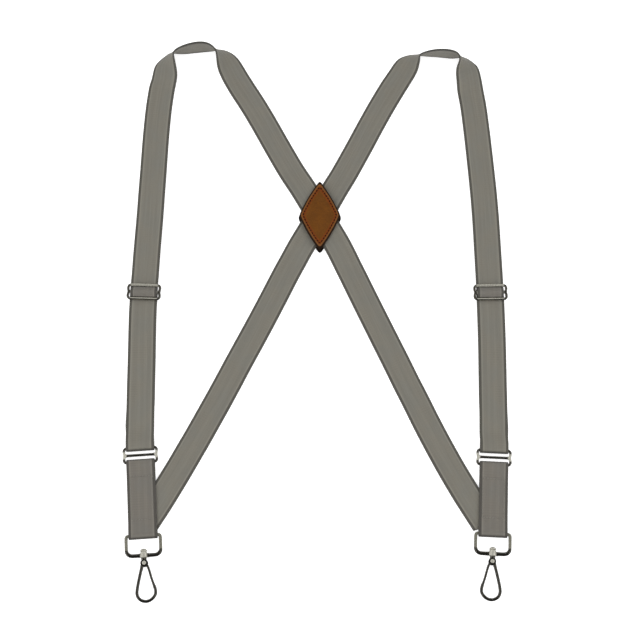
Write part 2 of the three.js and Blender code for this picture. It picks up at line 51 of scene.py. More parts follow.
# ------------------------------------------------------------------ dimensions
# Millimetres, in the layout frame of the CAD source. LAYOUT puts a point of it
# into the row frame, in metres.
WEB_W, WEB_T, GAP = 25.0, 1.5, 0.3
SLIDER_WIRE_R, SLIDER_PITCH, SLIDER_HALF_W, SLIDER_NOTCH = 1.2, 6.7, 14.55, 0.9
RING_WIRE_R, RING_HALF_W, RING_DROP, RING_CORNER_R = 1.4, 14.85, 17.6, 5.0
HOOK_DROOP, BOSS_R, STEM_R = 2.4, 3.2, 1.4
HOOK_WIRE_R, GATE_R, PIN_R = 1.3, 1.05, 1.2
PATCH_HALF_H, PATCH_HALF_W, PATCH_T, PATCH_CENTRE = 34.8, 19.2, 2.0, (-0.2, 100.2)
RING_Z = WEB_T + GAP + RING_WIRE_R
LOWER_Z = WEB_T + GAP + SLIDER_WIRE_R
RETURN_Z = WEB_T / 2
MAIN_Z = WEB_T + GAP + WEB_T / 2
UPPER_Z = 2 * (WEB_T + GAP) + SLIDER_WIRE_R
CENTRE_X, CENTRE_Y = -2.59, 10.06
LAYOUT = Matrix.Scale(0.001, 4) @ Matrix.Translation((-CENTRE_X, -CENTRE_Y, 0))

HIPS = {
    "left": dict(bar=(-152.9, -199.3), lean=4.0, length=72.0),
    "right": dict(bar=(149.5, -197.8), lean=-2.86, length=68.2),
}
UPPER = {"left": dict(at=(-160.2, 25.5), lean=-2.0), "right": dict(at=(155.1, 25.1), lean=0.9)}
FRONT = {
    "left": [(-159.0, -108), (-159.3, -94.2), (-159.6, -77.1), (-159.9, -59.9), (-160.1, -42.5), (-160.4, -25),
             (-160.7, -7.4), (-160.8, 10.4), (-160.4, 28.4), (-159.7, 46.5), (-159.1, 64.7), (-158.3, 83.1),
             (-157.5, 101.7), (-156.9, 120.4), (-156.3, 139.2), (-155.8, 158.2), (-155.2, 177.4), (-154.3, 196.8),
             (-153.0, 216.3), (-151.0, 235.0)],
    "right": [(153.4, -108), (153.8, -94.2), (154.1, -77.1), (154.4, -59.9), (154.7, -42.5), (155.0, -25),
              (155.1, -7.4), (155.1, 10.4), (154.9, 28.4), (154.6, 46.5), (154.2, 64.7), (153.8, 83.1),
              (153.3, 101.7), (152.5, 120.4), (151.5, 139.2), (150.4, 158.2), (149.1, 177.4), (147.6, 196.8),
              (145.8, 216.3), (143.5, 233.0)],
}
SHOULDER = {
    "left": [
        (-161.0, 245.8, -136.4, 244.4, 4.6), (-159.8, 253.4, -136.3, 248.9, 7.9), (-158.3, 259.3, -137.0, 252.9, 12.1),
        (-154.9, 264.1, -137.6, 255.1, 16.4), (-150.4, 268.1, -138.2, 257.5, 19.8), (-146.3, 271.9, -138.9, 259.9, 21.4),
        (-142.1, 273.7, -138.8, 262.9, 23.0), (-136.7, 273.0, -134.9, 265.8, 24.2), (-129.6, 273.0, -128.0, 269.0, 24.8),
        (-122.5, 273.8, -121.0, 271.1, 24.9), (-115.4, 274.6, -114.0, 272.1, 24.9), (-108.3, 275.4, -107.4, 271.2, 24.7),
        (-103.0, 276.0, -102.5, 268.6, 24.0), (-97.0, 276.9, -99.2, 264.8, 22.2), (-91.0, 275.8, -98.6, 261.0, 19.2),
        (-84.9, 272.9, -98.4, 257.7, 15.2), (-79.5, 267.9, -98.1, 254.4, 10.5), (-74.5, 260.3, -96.7, 250.0, 5.9),
        (-69.6, 251.4, -92.6, 241.9, 2.2)],
    "right": [
        (154.5, 245.8, 130.5, 240.5, 4.8), (153.1, 253.2, 129.7, 246.4, 6.8), (151.0, 259.1, 129.9, 250.1, 10.6),
        (146.4, 263.5, 130.8, 252.1, 16.2), (140.8, 267.6, 132.5, 255.3, 20.6), (135.2, 268.9, 131.8, 259.8, 23.3),
        (128.0, 268.0, 127.1, 262.6, 24.4), (121.5, 268.6, 121.0, 263.9, 24.8), (114.4, 269.4, 114.4, 264.2, 24.8),
        (107.3, 270.0, 107.4, 263.5, 24.5), (100.4, 270.6, 100.4, 261.9, 23.8), (94.4, 271.3, 95.2, 259.9, 22.6),
        (87.7, 271.1, 95.0, 257.9, 20.4), (81.3, 269.7, 94.9, 256.3, 16.6), (75.7, 267.0, 94.4, 254.2, 11.4),
        (71.0, 261.5, 93.2, 251.2, 5.6), (67.2, 255.2, 90.0, 245.8, 3.0)],
}
BACK = {
    "left": [(-74.5, 235.0), (-63.3, 216.3), (-52.6, 196.8), (-42.5, 177.4), (-32.3, 158.2), (-21.9, 139.2),
             (-11.2, 120.4), (-0.2, 100.6), (10.2, 82.4), (19.6, 64.7), (28.4, 46.5), (36.6, 28.4), (44.8, 10.4),
             (53.0, -7.4), (61.1, -25), (69.2, -42.5), (77.0, -59.9), (85.1, -77.1), (92.9, -94.2), (101.0, -111.2),
             (109.4, -128.0), (118.0, -144.7), (127.0, -161.3), (136.0, -176.5)],
    "right": [(69.4, 235.4), (58.9, 216.3), (48.8, 196.8), (39.2, 177.4), (29.5, 158.2), (19.6, 139.2),
              (9.6, 120.4), (-0.4, 101.4), (-11.0, 82.4), (-20.8, 64.7), (-30.2, 46.5), (-38.8, 28.4), (-47.4, 10.4),
              (-56.1, -7.4), (-64.9, -25), (-73.7, -42.5), (-82.2, -59.9), (-90.8, -77.1), (-99.6, -94.2),
              (-108.4, -111.2), (-117.4, -128.0), (-126.3, -144.7), (-135.4, -161.3), (-142.5, -173.5)],
}
BACK_END = {"left": [(132.7, -195.2), (157.0, -187.4)], "right": [(-141.2, -195.2), (-164.0, -185.4)]}


def smooth(a, b, x):
    t = np.clip((x - a) / (b - a), 0.0, 1.0)
    return t * t * (3 - 2 * t)


# ------------------------------------------------------------------ curves
def curve(points, t):
    """Centripetal Catmull-Rom through the points, at t from 0 to 1."""
    p = np.asarray(points, float)
    n = len(p)
    x = (n - 1) * t
    i = int(math.floor(x))
    w = x - i
    if i >= n - 1:
        i, w = n - 2, 1.0
    p1, p2 = p[i], p[i + 1]
    p0 = p[i - 1] if i > 0 else 2 * p[0] - p[1]
    p3 = p[i + 2] if i + 2 < n else 2 * p[-1] - p[-2]
    d0, d1, d2 = (max(float(np.sum((b - a) ** 2)) ** 0.25, 1e-4) for a, b in ((p0, p1), (p1, p2), (p2, p3)))
    m1 = ((p1 - p0) / d0 - (p2 - p0) / (d0 + d1) + (p2 - p1) / d1) * d1
    m2 = ((p2 - p1) / d1 - (p3 - p1) / (d1 + d2) + (p3 - p2) / d2) * d1
    return p1 + m1 * w + (-3 * p1 + 3 * p2 - 2 * m1 - m2) * w ** 2 + (2 * p1 - 2 * p2 + m1 + m2) * w ** 3


def along(line, step, closed=False):
    """The polyline again, at even steps."""
    line = np.asarray(line, float)
    if closed:
        line = np.vstack([line, line[:1]])
    d = np.concatenate([[0], np.cumsum(np.linalg.norm(np.diff(line, axis=0), axis=1))])
    n = max(2, int(round(d[-1] / step)))
    s = np.linspace(0, d[-1], n + 1)
    out = np.stack([np.interp(s, d, line[:, k]) for k in range(line.shape[1])], axis=1)
    return out[:-1] if closed else out


def fine(points, step, n=600):
    return along([curve(points, i / n) for i in range(n + 1)], step)


def soften(rows, times, keep=0):
    """Relaxes rows of numbers along their length; the first and last keep rows stay."""
    r = np.array(rows, float)
    for _ in range(times):
        m = r.copy()
        m[1:-1] = 0.25 * r[:-2] + 0.5 * r[1:-1] + 0.25 * r[2:]
        if keep:
            m[:keep], m[-keep:] = r[:keep], r[-keep:]
        r = m
    return r


# ------------------------------------------------------------------ meshes
def piece(name, verts, faces, matrix=None, attributes=None, material=None, sharp=None):
    v = np.asarray(verts, float)
    m = np.array(LAYOUT if matrix is None else matrix)
    v = v @ m[:3, :3].T + m[:3, 3]
    if np.linalg.det(m[:3, :3]) < 0:
        faces = [tuple(reversed(f)) for f in faces]
    me = bpy.data.meshes.new(name)
    me.from_pydata(v.tolist(), [], [tuple(int(i) for i in f) for f in faces])
    me.update()
    for key, values in (attributes or {}).items():
        values = np.asarray(values, np.float32)
        kind = "FLOAT_VECTOR" if values.ndim == 2 else "FLOAT"
        a = me.attributes.new(key, kind, "POINT")
        a.data.foreach_set("vector" if kind == "FLOAT_VECTOR" else "value", values.ravel())
    ob = bpy.data.objects.new(name, me)
    bpy.context.scene.collection.objects.link(ob)
    turn_out(me)
    me.shade_smooth()
    if sharp is not None:
        me.set_sharp_from_angle(angle=math.radians(sharp))
    if material is not None:
        me.materials.append(material)
    return ob


def turn_out(me):
    """Every face of a closed mesh looks out."""
    me.calc_loop_triangles()
    n = len(me.loop_triangles)
    tri = np.zeros(n * 3, np.int32)
    me.loop_triangles.foreach_get("vertices", tri)
    co = np.zeros(len(me.vertices) * 3)
    me.vertices.foreach_get("co", co)
    co = co.reshape(-1, 3)
    t = co[tri.reshape(-1, 3)]
    if np.sum(np.einsum("ij,ij->i", t[:, 0], np.cross(t[:, 1], t[:, 2]))) < 0:
        me.flip_normals()


def grid_faces(rows, n, closed_rows, start=0):
    out = []
    for i in range(rows if closed_rows else rows - 1):
        j = (i + 1) % rows
        for k in range(n):
            l = (k + 1) % n
            out.append((start + i * n + k, start + j * n + k, start + j * n + l, start + i * n + l))
    return out


# Half of the webbing's section: across, and half thickness. A slim groove runs
# inside the selvedge cord at each edge.
SECTION = [(-12.5, 0.0), (-12.46, 0.24), (-12.32, 0.47), (-12.08, 0.66), (-11.75, 0.745), (-11.4, 0.72),
           (-11.12, 0.655), (-10.85, 0.70), (-10.4, 0.745), (-8.6, 0.75), (-6.5, 0.755), (-4.3, 0.76), (-2.1, 0.76),
           (0.0, 0.76), (2.1, 0.76), (4.3, 0.76), (6.5, 0.755), (8.6, 0.75), (10.4, 0.745), (10.85, 0.70),
           (11.12, 0.655), (11.4, 0.72), (11.75, 0.745), (12.08, 0.66), (12.32, 0.47), (12.46, 0.24), (12.5, 0.0)]


def web_mesh(name, outer, inner, material, closed=False, thick=1.0, s0=0.0, matrix=None, cap=True, shade=1.0):
    """Webbing between two edge lines. Stores how far across and along each point is,
    and a painted shade weight: darker where it turns away in a fold, and near both edges where it stands on its edge."""
    o, i = np.asarray(outer, float), np.asarray(inner, float)
    mid = (o + i) / 2
    m = len(mid)
    if closed:
        t = np.roll(mid, -1, axis=0) - np.roll(mid, 1, axis=0)
    else:
        t = np.gradient(mid, axis=0)
    t /= np.linalg.norm(t, axis=1)[:, None]
    w = i - o
    half = np.linalg.norm(w, axis=1)[:, None] / 2
    w /= 2 * half
    n = np.cross(w, t)
    n /= np.linalg.norm(n, axis=1)[:, None]
    d = np.linalg.norm(np.diff(mid, axis=0), axis=1)
    s = s0 + np.concatenate([[0], np.cumsum(d)])
    bend = np.linalg.norm(np.roll(t, -1, axis=0) - np.roll(t, 1, axis=0), axis=1)
    bend /= np.linalg.norm(np.roll(mid, -1, axis=0) - np.roll(mid, 1, axis=0), axis=1)
    if not closed:
        bend[[0, -1]] = 0
    # Painted shade: bend and upright weight the fold_shade attribute, which darkens folds and the edges of strap
    # standing on its edge.
    bend = smooth(0.10, 0.36, bend) * shade
    bend *= 1 - smooth(0.60, 0.99, np.abs(n[:, 2]))
    upright = smooth(0.55, 0.9, np.abs(w[:, 2]))
    ring = SECTION + [(u, -h) for u, h in reversed(SECTION[1:-1])]
    k = len(ring)
    verts, att, fold_shade = [], [], []
    edge = WEB_W / 2
    for q in range(m):
        for u, h in ring:
            f = u / edge
            verts.append(mid[q] + w[q] * f * half[q] + n[q] * h * thick)
            att.append((u * 0.001, s[q] * 0.001, h * 0.001))
            fold_shade.append(max(bend[q], 0.9 * upright[q] * smooth(8.4, 10.6, abs(u))))
    faces = grid_faces(m, k, closed)
    if not closed and cap:
        half_n = len(SECTION)
        for row, flip in ((0, False), (m - 1, True)):
            base = row * k
            # Strip of quads between the top and bottom lines of the section.
            for a in range(half_n - 1):
                top0, top1 = base + a, base + a + 1
                bot0 = base + (k - a) % k if a else base
                bot1 = base + (k - a - 1) if a + 1 < half_n - 1 else base + half_n - 1
                f = [top0, top1, bot1, bot0]
                f = [x for z, x in enumerate(f) if x not in f[:z]]
                if len(f) > 2:
                    faces.append(tuple(f if not flip else reversed(f)))
    ob = piece(name, verts, faces, matrix, {"weave": att, "fold_shade": fold_shade}, material)
    return ob, float(s[-1] - s0) * 0.001


def sweep(points, r_side, r_up, closed=False, sides=20, up=(0, 0, 1), round_ends=True):
    """A round or oval bar along a path. Radii may be one number or one for each point."""
    p = np.asarray(points, float)
    m = len(p)
    rs = np.broadcast_to(np.asarray(r_side, float), (m,)).copy()
    ru = np.broadcast_to(np.asarray(r_up, float), (m,)).copy()
    if closed:
        t = np.roll(p, -1, axis=0) - np.roll(p, 1, axis=0)
    else:
        t = np.gradient(p, axis=0)
    t /= np.linalg.norm(t, axis=1)[:, None]
    if not closed and round_ends:
        def cap_rows(end):
            e, r = (p[0], rs[0]) if end == 0 else (p[-1], rs[-1])
            d = -t[0] if end == 0 else t[-1]
            rows = []
            for a in (22, 45, 67, 84):
                q = math.radians(a)
                rows.append((e + d * (r * 0.8 * math.sin(q)), math.cos(q)))
            return rows
        first, last = cap_rows(0)[::-1], cap_rows(1)
        p = np.vstack([[x[0] for x in first], p, [x[0] for x in last]])
        t = np.vstack([np.repeat(t[:1], len(first), 0), t, np.repeat(t[-1:], len(last), 0)])
        rs, ru = (np.concatenate([[r[0] * x[1] for x in first], r, [r[-1] * x[1] for x in last]]) for r in (rs, ru))
        m = len(p)
    side = np.cross(t, np.broadcast_to(np.asarray(up, float), (m, 3)))
    side /= np.linalg.norm(side, axis=1)[:, None]
    n = np.cross(side, t)
    q = (np.arange(sides) + 0.5) / sides * 2 * math.pi
    c, s = np.cos(q), np.sin(q)
    verts = (p[:, None, :] + side[:, None, :] * (rs[:, None] * c)[:, :, None]
             + n[:, None, :] * (ru[:, None] * s)[:, :, None]).reshape(-1, 3)
    faces = grid_faces(m, sides, closed)
    if not closed:
        faces.append(tuple(range(sides)))
        faces.append(tuple((m - 1) * sides + k for k in range(sides))[::-1])
    return verts, faces


def lathe(profile, sides=32):
    """Turned about Y. The profile, radius and height, starts and ends on the axis."""
    verts, faces = [], []
    ids = []
    for r, y in profile:
        if r < 1e-6:
            ids.append([len(verts)])
            verts.append((0, y, 0))
        else:
            row = []
            for k in range(sides):
                q = 2 * math.pi * k / sides
                row.append(len(verts))
                verts.append((r * math.cos(q), y, r * math.sin(q)))
            ids.append(row)
    for a, b in zip(ids, ids[1:]):
        for k in range(sides):
            l = (k + 1) % sides
            if len(a) == 1 and len(b) == 1:
                continue
            if len(a) == 1:
                faces.append((a[0], b[k], b[l]))
            elif len(b) == 1:
                faces.append((a[k], b[0], a[l]))
            else:
                faces.append((a[k], b[k], b[l], a[l]))
    return np.array(verts, float), faces


def rounded(profile, r, n=4):
    """The profile with its inner corners rounded to radius r (or a number for each)."""
    out = [profile[0]]
    rs = r if isinstance(r, (list, tuple)) else [r] * len(profile)
    for i in range(1, len(profile) - 1):
        a, b, c = (np.array(x, float) for x in profile[i - 1:i + 2])
        la, lc = np.linalg.norm(a - b), np.linalg.norm(c - b)
        d = min(rs[i], la * 0.48, lc * 0.48)
        if d < 1e-3:
            out.append(tuple(b))
            continue
        p, q = b + (a - b) / la * d, b + (c - b) / lc * d
        for k in range(n + 1):
            f = k / n
            out.append(tuple((1 - f) ** 2 * p + 2 * f * (1 - f) * b + f ** 2 * q))
    out.append(profile[-1])
    return out


def disc(r, half, bevel=0.35, at=(0, 0), z=0.0, sides=32):
    """A short cylinder along Z with rounded rims."""
    prof = rounded([(0, -half), (r, -half), (r, half), (0, half)], bevel, 3)
    v, f = lathe(prof, sides)
    v = np.stack([v[:, 0] + at[0], -v[:, 2] + at[1], v[:, 1] + z], axis=1)
    return v, f


def box(size, at):
    x, y, z = (s / 2 for s in size)
    v = np.array([(a * x, b * y, c * z) for a in (-1, 1) for b in (-1, 1) for c in (-1, 1)], float) + np.array(at, float)
    return v, [(0, 1, 3, 2), (4, 6, 7, 5), (0, 4, 5, 1), (2, 3, 7, 6), (0, 2, 6, 4), (1, 5, 7, 3)]


def scrap(verts, faces, matrix=None):
    return piece("scrap", verts, faces, matrix if matrix is not None else Matrix.Identity(4))


def boolean(base, steps):
    """steps: list of ("UNION" or "DIFFERENCE", (verts, faces))."""
    for op, (v, f) in steps:
        tool = scrap(v, f)
        mod = base.modifiers.new("b", "BOOLEAN")
        mod.operation, mod.solver, mod.object = op, "EXACT", tool
        dg = bpy.context.evaluated_depsgraph_get()
        me = bpy.data.meshes.new_from_object(base.evaluated_get(dg))
        base.modifiers.clear()
        old, base.data = base.data, me
        bpy.data.meshes.remove(old)
        gone = tool.data
        bpy.data.objects.remove(tool)
        bpy.data.meshes.remove(gone)
    return base


def settle(base, name, matrix, material, satin_and_reflection=None, sharp=32):
    """A piece that was cut in its own frame goes to its place in the row frame.
    satin_and_reflection(points, normals), in its own frame, gives how satin the plate is and how light its painted
    reflection is."""
    me = base.data
    co = np.array([v.co for v in me.vertices])
    no = np.array([v.normal for v in me.vertices])
    reflection_tone = np.zeros((len(co), 3), np.float32)
    if satin_and_reflection:
        reflection_tone[:, 0], reflection_tone[:, 1] = satin_and_reflection(co, no)
    me.attributes.new("satin_and_reflection", "FLOAT_VECTOR", "POINT").data.foreach_set("vector", reflection_tone.ravel())
    me.transform(matrix)
    me.update()
    base.name = name
    me.name = name
    me.materials.clear()
    me.materials.append(material)
    for p in me.polygons:
        p.material_index = 0
    me.shade_smooth()
    me.set_sharp_from_angle(angle=math.radians(sharp))
    return base


# ------------------------------------------------------------------ materials
class Graph:
    def __init__(self, name):
        self.mat = bpy.data.materials.new(name)
        self.mat.use_nodes = True
        self.t = self.mat.node_tree
        self.shader = next(n for n in self.t.nodes if n.type == "BSDF_PRINCIPLED")

    def node(self, kind, **props):
        n = self.t.nodes.new(kind)
        for k, v in props.items():
            setattr(n, k, v)
        return n

    def put(self, socket, value):
        if isinstance(value, bpy.types.NodeSocket):
            self.t.links.new(value, socket)
        elif value is not None:
            socket.default_value = value

    def math(self, op, a, b=None, c=None, clamp=False):
        n = self.node("ShaderNodeMath", operation=op, use_clamp=clamp)
        for s, v in zip(n.inputs, (a, b, c)):
            self.put(s, v)
        return n.outputs[0]

    def vmath(self, op, a, b=None):
        n = self.node("ShaderNodeVectorMath", operation=op)
        self.put(n.inputs[0], a)
        if b is not None:
            self.put(n.inputs[1], b)
        return n.outputs[0]

    def mix(self, fac, a, b, blend="MIX"):
        n = self.node("ShaderNodeMix", data_type="RGBA", blend_type=blend)
        self.put(n.inputs[0], fac)
        self.put(n.inputs[6], a)
        self.put(n.inputs[7], b)
        return n.outputs[2]

    def noise(self, vector, scale, detail=4.0, rough=0.55, distort=0.0):
        n = self.node("ShaderNodeTexNoise")
        self.put(n.inputs["Vector"], vector)
        n.inputs["Scale"].default_value = scale
        n.inputs["Detail"].default_value = detail
        n.inputs["Roughness"].default_value = rough
        n.inputs["Distortion"].default_value = distort
        return n.outputs[0]

    def voronoi(self, vector, scale, feature="F1", random_=1.0):
        n = self.node("ShaderNodeTexVoronoi", feature=feature)
        self.put(n.inputs["Vector"], vector)
        n.inputs["Scale"].default_value = scale
        n.inputs["Randomness"].default_value = random_
        return n.outputs["Distance"]

    def ramp(self, fac, stops):
        n = self.node("ShaderNodeValToRGB")
        self.put(n.inputs[0], fac)
        e = n.color_ramp.elements
        while len(e) < len(stops):
            e.new(0.5)
        for x, (pos, col) in zip(e, stops):
            x.position = pos
            x.color = (*col, 1.0) if not isinstance(col, (int, float)) else (col, col, col, 1.0)
        return n.outputs[0]

    def span(self, value, a, b, to0=0.0, to1=1.0, kind="SMOOTHSTEP"):
        n = self.node("ShaderNodeMapRange", interpolation_type=kind)
        self.put(n.inputs[0], value)
        for s, v in zip(n.inputs[1:5], (a, b, to0, to1)):
            self.put(s, v)
        return n.outputs[0]

    def bump(self, height, strength, distance, normal=None):
        n = self.node("ShaderNodeBump")
        n.inputs["Strength"].default_value = strength
        n.inputs["Distance"].default_value = distance
        self.put(n.inputs["Height"], height)
        if normal is not None:
            self.put(n.inputs["Normal"], normal)
        return n.outputs[0]

    def place(self):
        return self.node("ShaderNodeTexCoord").outputs["Object"]

    def attribute(self, name, what="Vector"):
        n = self.node("ShaderNodeAttribute", attribute_type="GEOMETRY", attribute_name=name)
        return n.outputs[what]

    def parts(self, vector):
        n = self.node("ShaderNodeSeparateXYZ")
        self.put(n.inputs[0], vector)
        return n.outputs

    def joined(self, x, y, z):
        n = self.node("ShaderNodeCombineXYZ")
        for s, v in zip(n.inputs, (x, y, z)):
            self.put(s, v)
        return n.outputs[0]

    def set(self, **values):
        for k, v in values.items():
            self.put(self.shader.inputs[k.replace("_", " ")], v)
        return self.mat


def lin(r, g, b, gain=1.0):
    def f(c):
        c /= 255
        return (c / 12.92 if c <= 0.04045 else ((c + 0.055) / 1.055) ** 2.4) * gain
    return (f(r), f(g), f(b))


def col(c):
    return (*c, 1.0)


def webbing_material(name, rgb, gain=1.0, edge_gain=0.37):
    """Elastic webbing: fine ribs along the strap crossed by picks, a dark band of painted shade
    over the rounded selvedge at each edge and faint streaks along its length."""
    g = Graph(name)
    u, s, h = g.parts(g.attribute("weave"))[:]
    # Ribs 0.78 mm apart, picks 1.15 mm apart, shifted half a step from rib to rib.
    rib = g.math("MULTIPLY", u, math.pi / 0.00078)
    rib_h = g.math("ABSOLUTE", g.math("SINE", rib))
    shift = g.math("MULTIPLY", g.math("FLOOR", g.math("DIVIDE", u, 0.00078)), math.pi)
    pick = g.math("SINE", g.math("ADD", g.math("MULTIPLY", s, 2 * math.pi / 0.00115), shift))
    pick_h = g.math("MULTIPLY_ADD", pick, 0.5, 0.5)
    weave = g.math("MULTIPLY", g.math("POWER", rib_h, 0.6), g.math("MULTIPLY_ADD", pick_h, 0.45, 0.55))
    fibre = g.noise(g.joined(g.math("MULTIPLY", u, 9.0), s, h), 2400.0, 3.0, 0.6)
    height = g.math("ADD", weave, g.math("MULTIPLY", fibre, 0.35))
    # Streaks along the strap and slow patches.
    streak = g.noise(g.joined(g.math("MULTIPLY", u, 900.0), g.math("MULTIPLY", s, 22.0), 0.0), 1.0, 4.0, 0.6)
    patch = g.noise(g.joined(g.math("MULTIPLY", u, 60.0), g.math("MULTIPLY", s, 38.0), 3.0), 1.0, 3.0, 0.5)
    a = g.math("ABSOLUTE", u)
    wide = g.noise(g.joined(g.math("MULTIPLY", u, 420.0), g.math("MULTIPLY", s, 5.0), 9.0), 1.0, 3.0, 0.55)
    cross = g.math("MULTIPLY", g.math("SINE", g.math("MULTIPLY", s, 2 * math.pi / 0.0023)), g.span(patch, 0.45, 0.7))
    selvedge = g.span(a, 0.0098, 0.0105)
    line = g.math("MULTIPLY", g.span(a, 0.0085, 0.0092), g.span(a, 0.0102, 0.0097))
    base = tuple(c * gain for c in lin(*rgb))
    deep = tuple(c * 0.55 for c in base)
    warm = (base[0] * 1.04, base[1] * 1.02, base[2] * 0.985)
    cool = (base[0] * 0.965, base[1] * 0.985, base[2] * 0.995)
    c = g.mix(g.span(patch, 0.35, 0.65), col(cool), col(warm))
    c = g.mix(g.span(streak, 0.3, 0.7, 0.0, 0.30), c, col(tuple(x * 0.72 for x in base)))
    c = g.mix(g.span(wide, 0.36, 0.64, 0.0, 0.42), c, col(tuple(x * 0.80 for x in base)))
    # Painted shade: the low points of the weave, between ribs and picks, are darkened.
    c = g.mix(g.span(weave, 0.0, 0.75, 0.45, 0.0), c, col(deep))
    c = g.mix(g.span(cross, 0.0, 1.0, 0.0, 0.16), c, col(deep))
    c = g.mix(g.math("MULTIPLY", line, 0.26), c, col(tuple(min(1, x * 1.5) for x in base)))
    # Painted shade: the rounded selvedge at each edge is darkened.
    c = g.mix(g.math("MULTIPLY", selvedge, 0.92), c, col(tuple(x * edge_gain for x in base)))
    # Painted shade at folds and along the edges of upright strap, from the fold_shade attribute.
    c = g.mix(g.math("MULTIPLY", g.attribute("fold_shade", "Fac"), 0.9), c, col(tuple(x * 0.26 for x in base)))
    rough = g.span(fibre, 0.2, 0.8, 0.82, 0.97, "LINEAR")
    return g.set(Base_Color=c, Roughness=rough, Normal=g.bump(height, 0.75, 0.00016),
                 Sheen_Weight=0.12, Sheen_Roughness=0.45, Specular_IOR_Level=0.25)


def nickel_material(name, bright=(0.80, 0.775, 0.70), dull=(0.62, 0.585, 0.50), low=0.07, high=0.2,
                    reflection_tone=(0.30, 0.29, 0.235), pale=(0.84, 0.82, 0.72)):
    """Polished nickel plate: faint tarnish, hairline scratches and soft orange peel. The
    satin_and_reflection attribute says where the plate is satin, and how pale or dark it is painted there: painted
    reflections and highlights."""
    g = Graph(name)
    p = g.place()
    cloud = g.noise(p, 260.0, 5.0, 0.6, 0.4)
    speck = g.noise(p, 2600.0, 3.0, 0.6)
    hair = g.noise(g.vmath("MULTIPLY", p, (1.0, 14.0, 1.0)), 900.0, 4.0, 0.7)
    hair2 = g.noise(g.vmath("MULTIPLY", p, (16.0, 1.0, 3.0)), 700.0, 4.0, 0.7)
    c = g.mix(g.span(cloud, 0.42, 0.70), col(bright), col(dull))
    satin_and_reflection = g.parts(g.attribute("satin_and_reflection"))
    ragged = g.math("ADD", satin_and_reflection[0], g.math("MULTIPLY", g.math("SUBTRACT", cloud, 0.5), 0.5))
    amount = g.math("MULTIPLY", g.span(ragged, 0.2, 0.8), g.span(satin_and_reflection[0], 0.0, 0.12))
    # Painted reflection: the satin colour runs from a dark to a pale tone, standing in for dark and bright reflections.
    satin_reflection = g.mix(satin_and_reflection[1], col(reflection_tone), col(pale))
    satin_reflection = g.mix(g.span(cloud, 0.40, 0.72, 0.0, 0.5), satin_reflection, g.mix(0.76, (0, 0, 0, 1), satin_reflection))
    c = g.mix(amount, c, satin_reflection)
    c = g.mix(g.span(speck, 0.62, 0.74, 0.0, 0.35), c, col(tuple(x * 0.45 for x in dull)))
    r = g.math("ADD", g.span(cloud, 0.3, 0.75, low, high), g.span(hair, 0.55, 0.75, 0.0, 0.10))
    r = g.math("ADD", r, g.math("MULTIPLY", amount, 0.15))
    h = g.math("ADD", g.math("MULTIPLY", hair, 0.5), g.math("MULTIPLY", hair2, 0.5))
    n = g.bump(h, 0.10, 0.00004)
    n = g.bump(cloud, 0.06, 0.0004, n)
    return g.set(Base_Color=c, Metallic=g.math("MULTIPLY_ADD", amount, -0.38, 1.0), Roughness=r, Normal=n)


def leather_material(name, body, dark, light, red, edge_far=16.0):
    """Full-grain leather. The inset attribute is the distance in mm from the cut edge."""
    g = Graph(name)
    d = g.attribute("inset", "Fac")
    p = g.place()
    warp = g.noise(p, 900.0, 3.0, 0.6)
    cells = g.voronoi(g.vmath("ADD", p, g.joined(g.math("MULTIPLY", warp, 0.0005), g.math("MULTIPLY", warp, 0.0004), 0.0)), 1250.0)
    small = g.voronoi(p, 3300.0)
    pores = g.noise(p, 5200.0, 3.0, 0.65)
    cloud = g.noise(p, 95.0, 5.0, 0.62, 0.5)
    broad = g.noise(p, 38.0, 3.0, 0.5)
    pull = g.noise(g.vmath("MULTIPLY", p, (1.0, 4.0, 1.0)), 180.0, 4.0, 0.6)
    wob = g.math("ADD", d, g.math("MULTIPLY", g.math("SUBTRACT", cloud, 0.5), 0.9))
    c = g.mix(g.span(cloud, 0.3, 0.7), col(body), col(tuple(x * 0.80 for x in body)))
    c = g.mix(g.span(broad, 0.38, 0.62, 0.0, 0.45), c, col(tuple(x * 1.22 for x in body)))
    c = g.mix(g.span(pull, 0.5, 0.75, 0.0, 0.25), c, col(tuple(x * 0.62 for x in body)))
    c = g.mix(g.math("MULTIPLY", g.span(wob, 5.6, 4.0), 0.8), c, col(red))
    c = g.mix(g.math("MULTIPLY", g.span(wob, 2.7, 2.2), 0.75), c, col(light))
    c = g.mix(g.span(wob, 1.75, 1.0), c, col(dark))
    c = g.mix(g.span(g.attribute("tip", "Fac"), 4.3, 3.2), c, col(tuple(x * 0.6 for x in dark)))
    c = g.mix(g.span(cells, 0.30, 0.62, 0.0, 0.28), c, col(tuple(x * 0.35 for x in body)))
    h = g.math("ADD", g.math("MULTIPLY", g.math("POWER", cells, 1.4), -0.7), g.math("MULTIPLY", small, -0.25))
    h = g.math("ADD", h, g.math("MULTIPLY", pores, 0.22))
    r = g.math("ADD", g.span(cloud, 0.25, 0.75, 0.42, 0.60), g.span(cells, 0.2, 0.6, 0.0, 0.12))
    n = g.bump(h, 0.55, 0.00022)
    n = g.bump(broad, 0.25, 0.0012, n)
    return g.set(Base_Color=c, Roughness=r, Normal=n, Specular_IOR_Level=0.2)


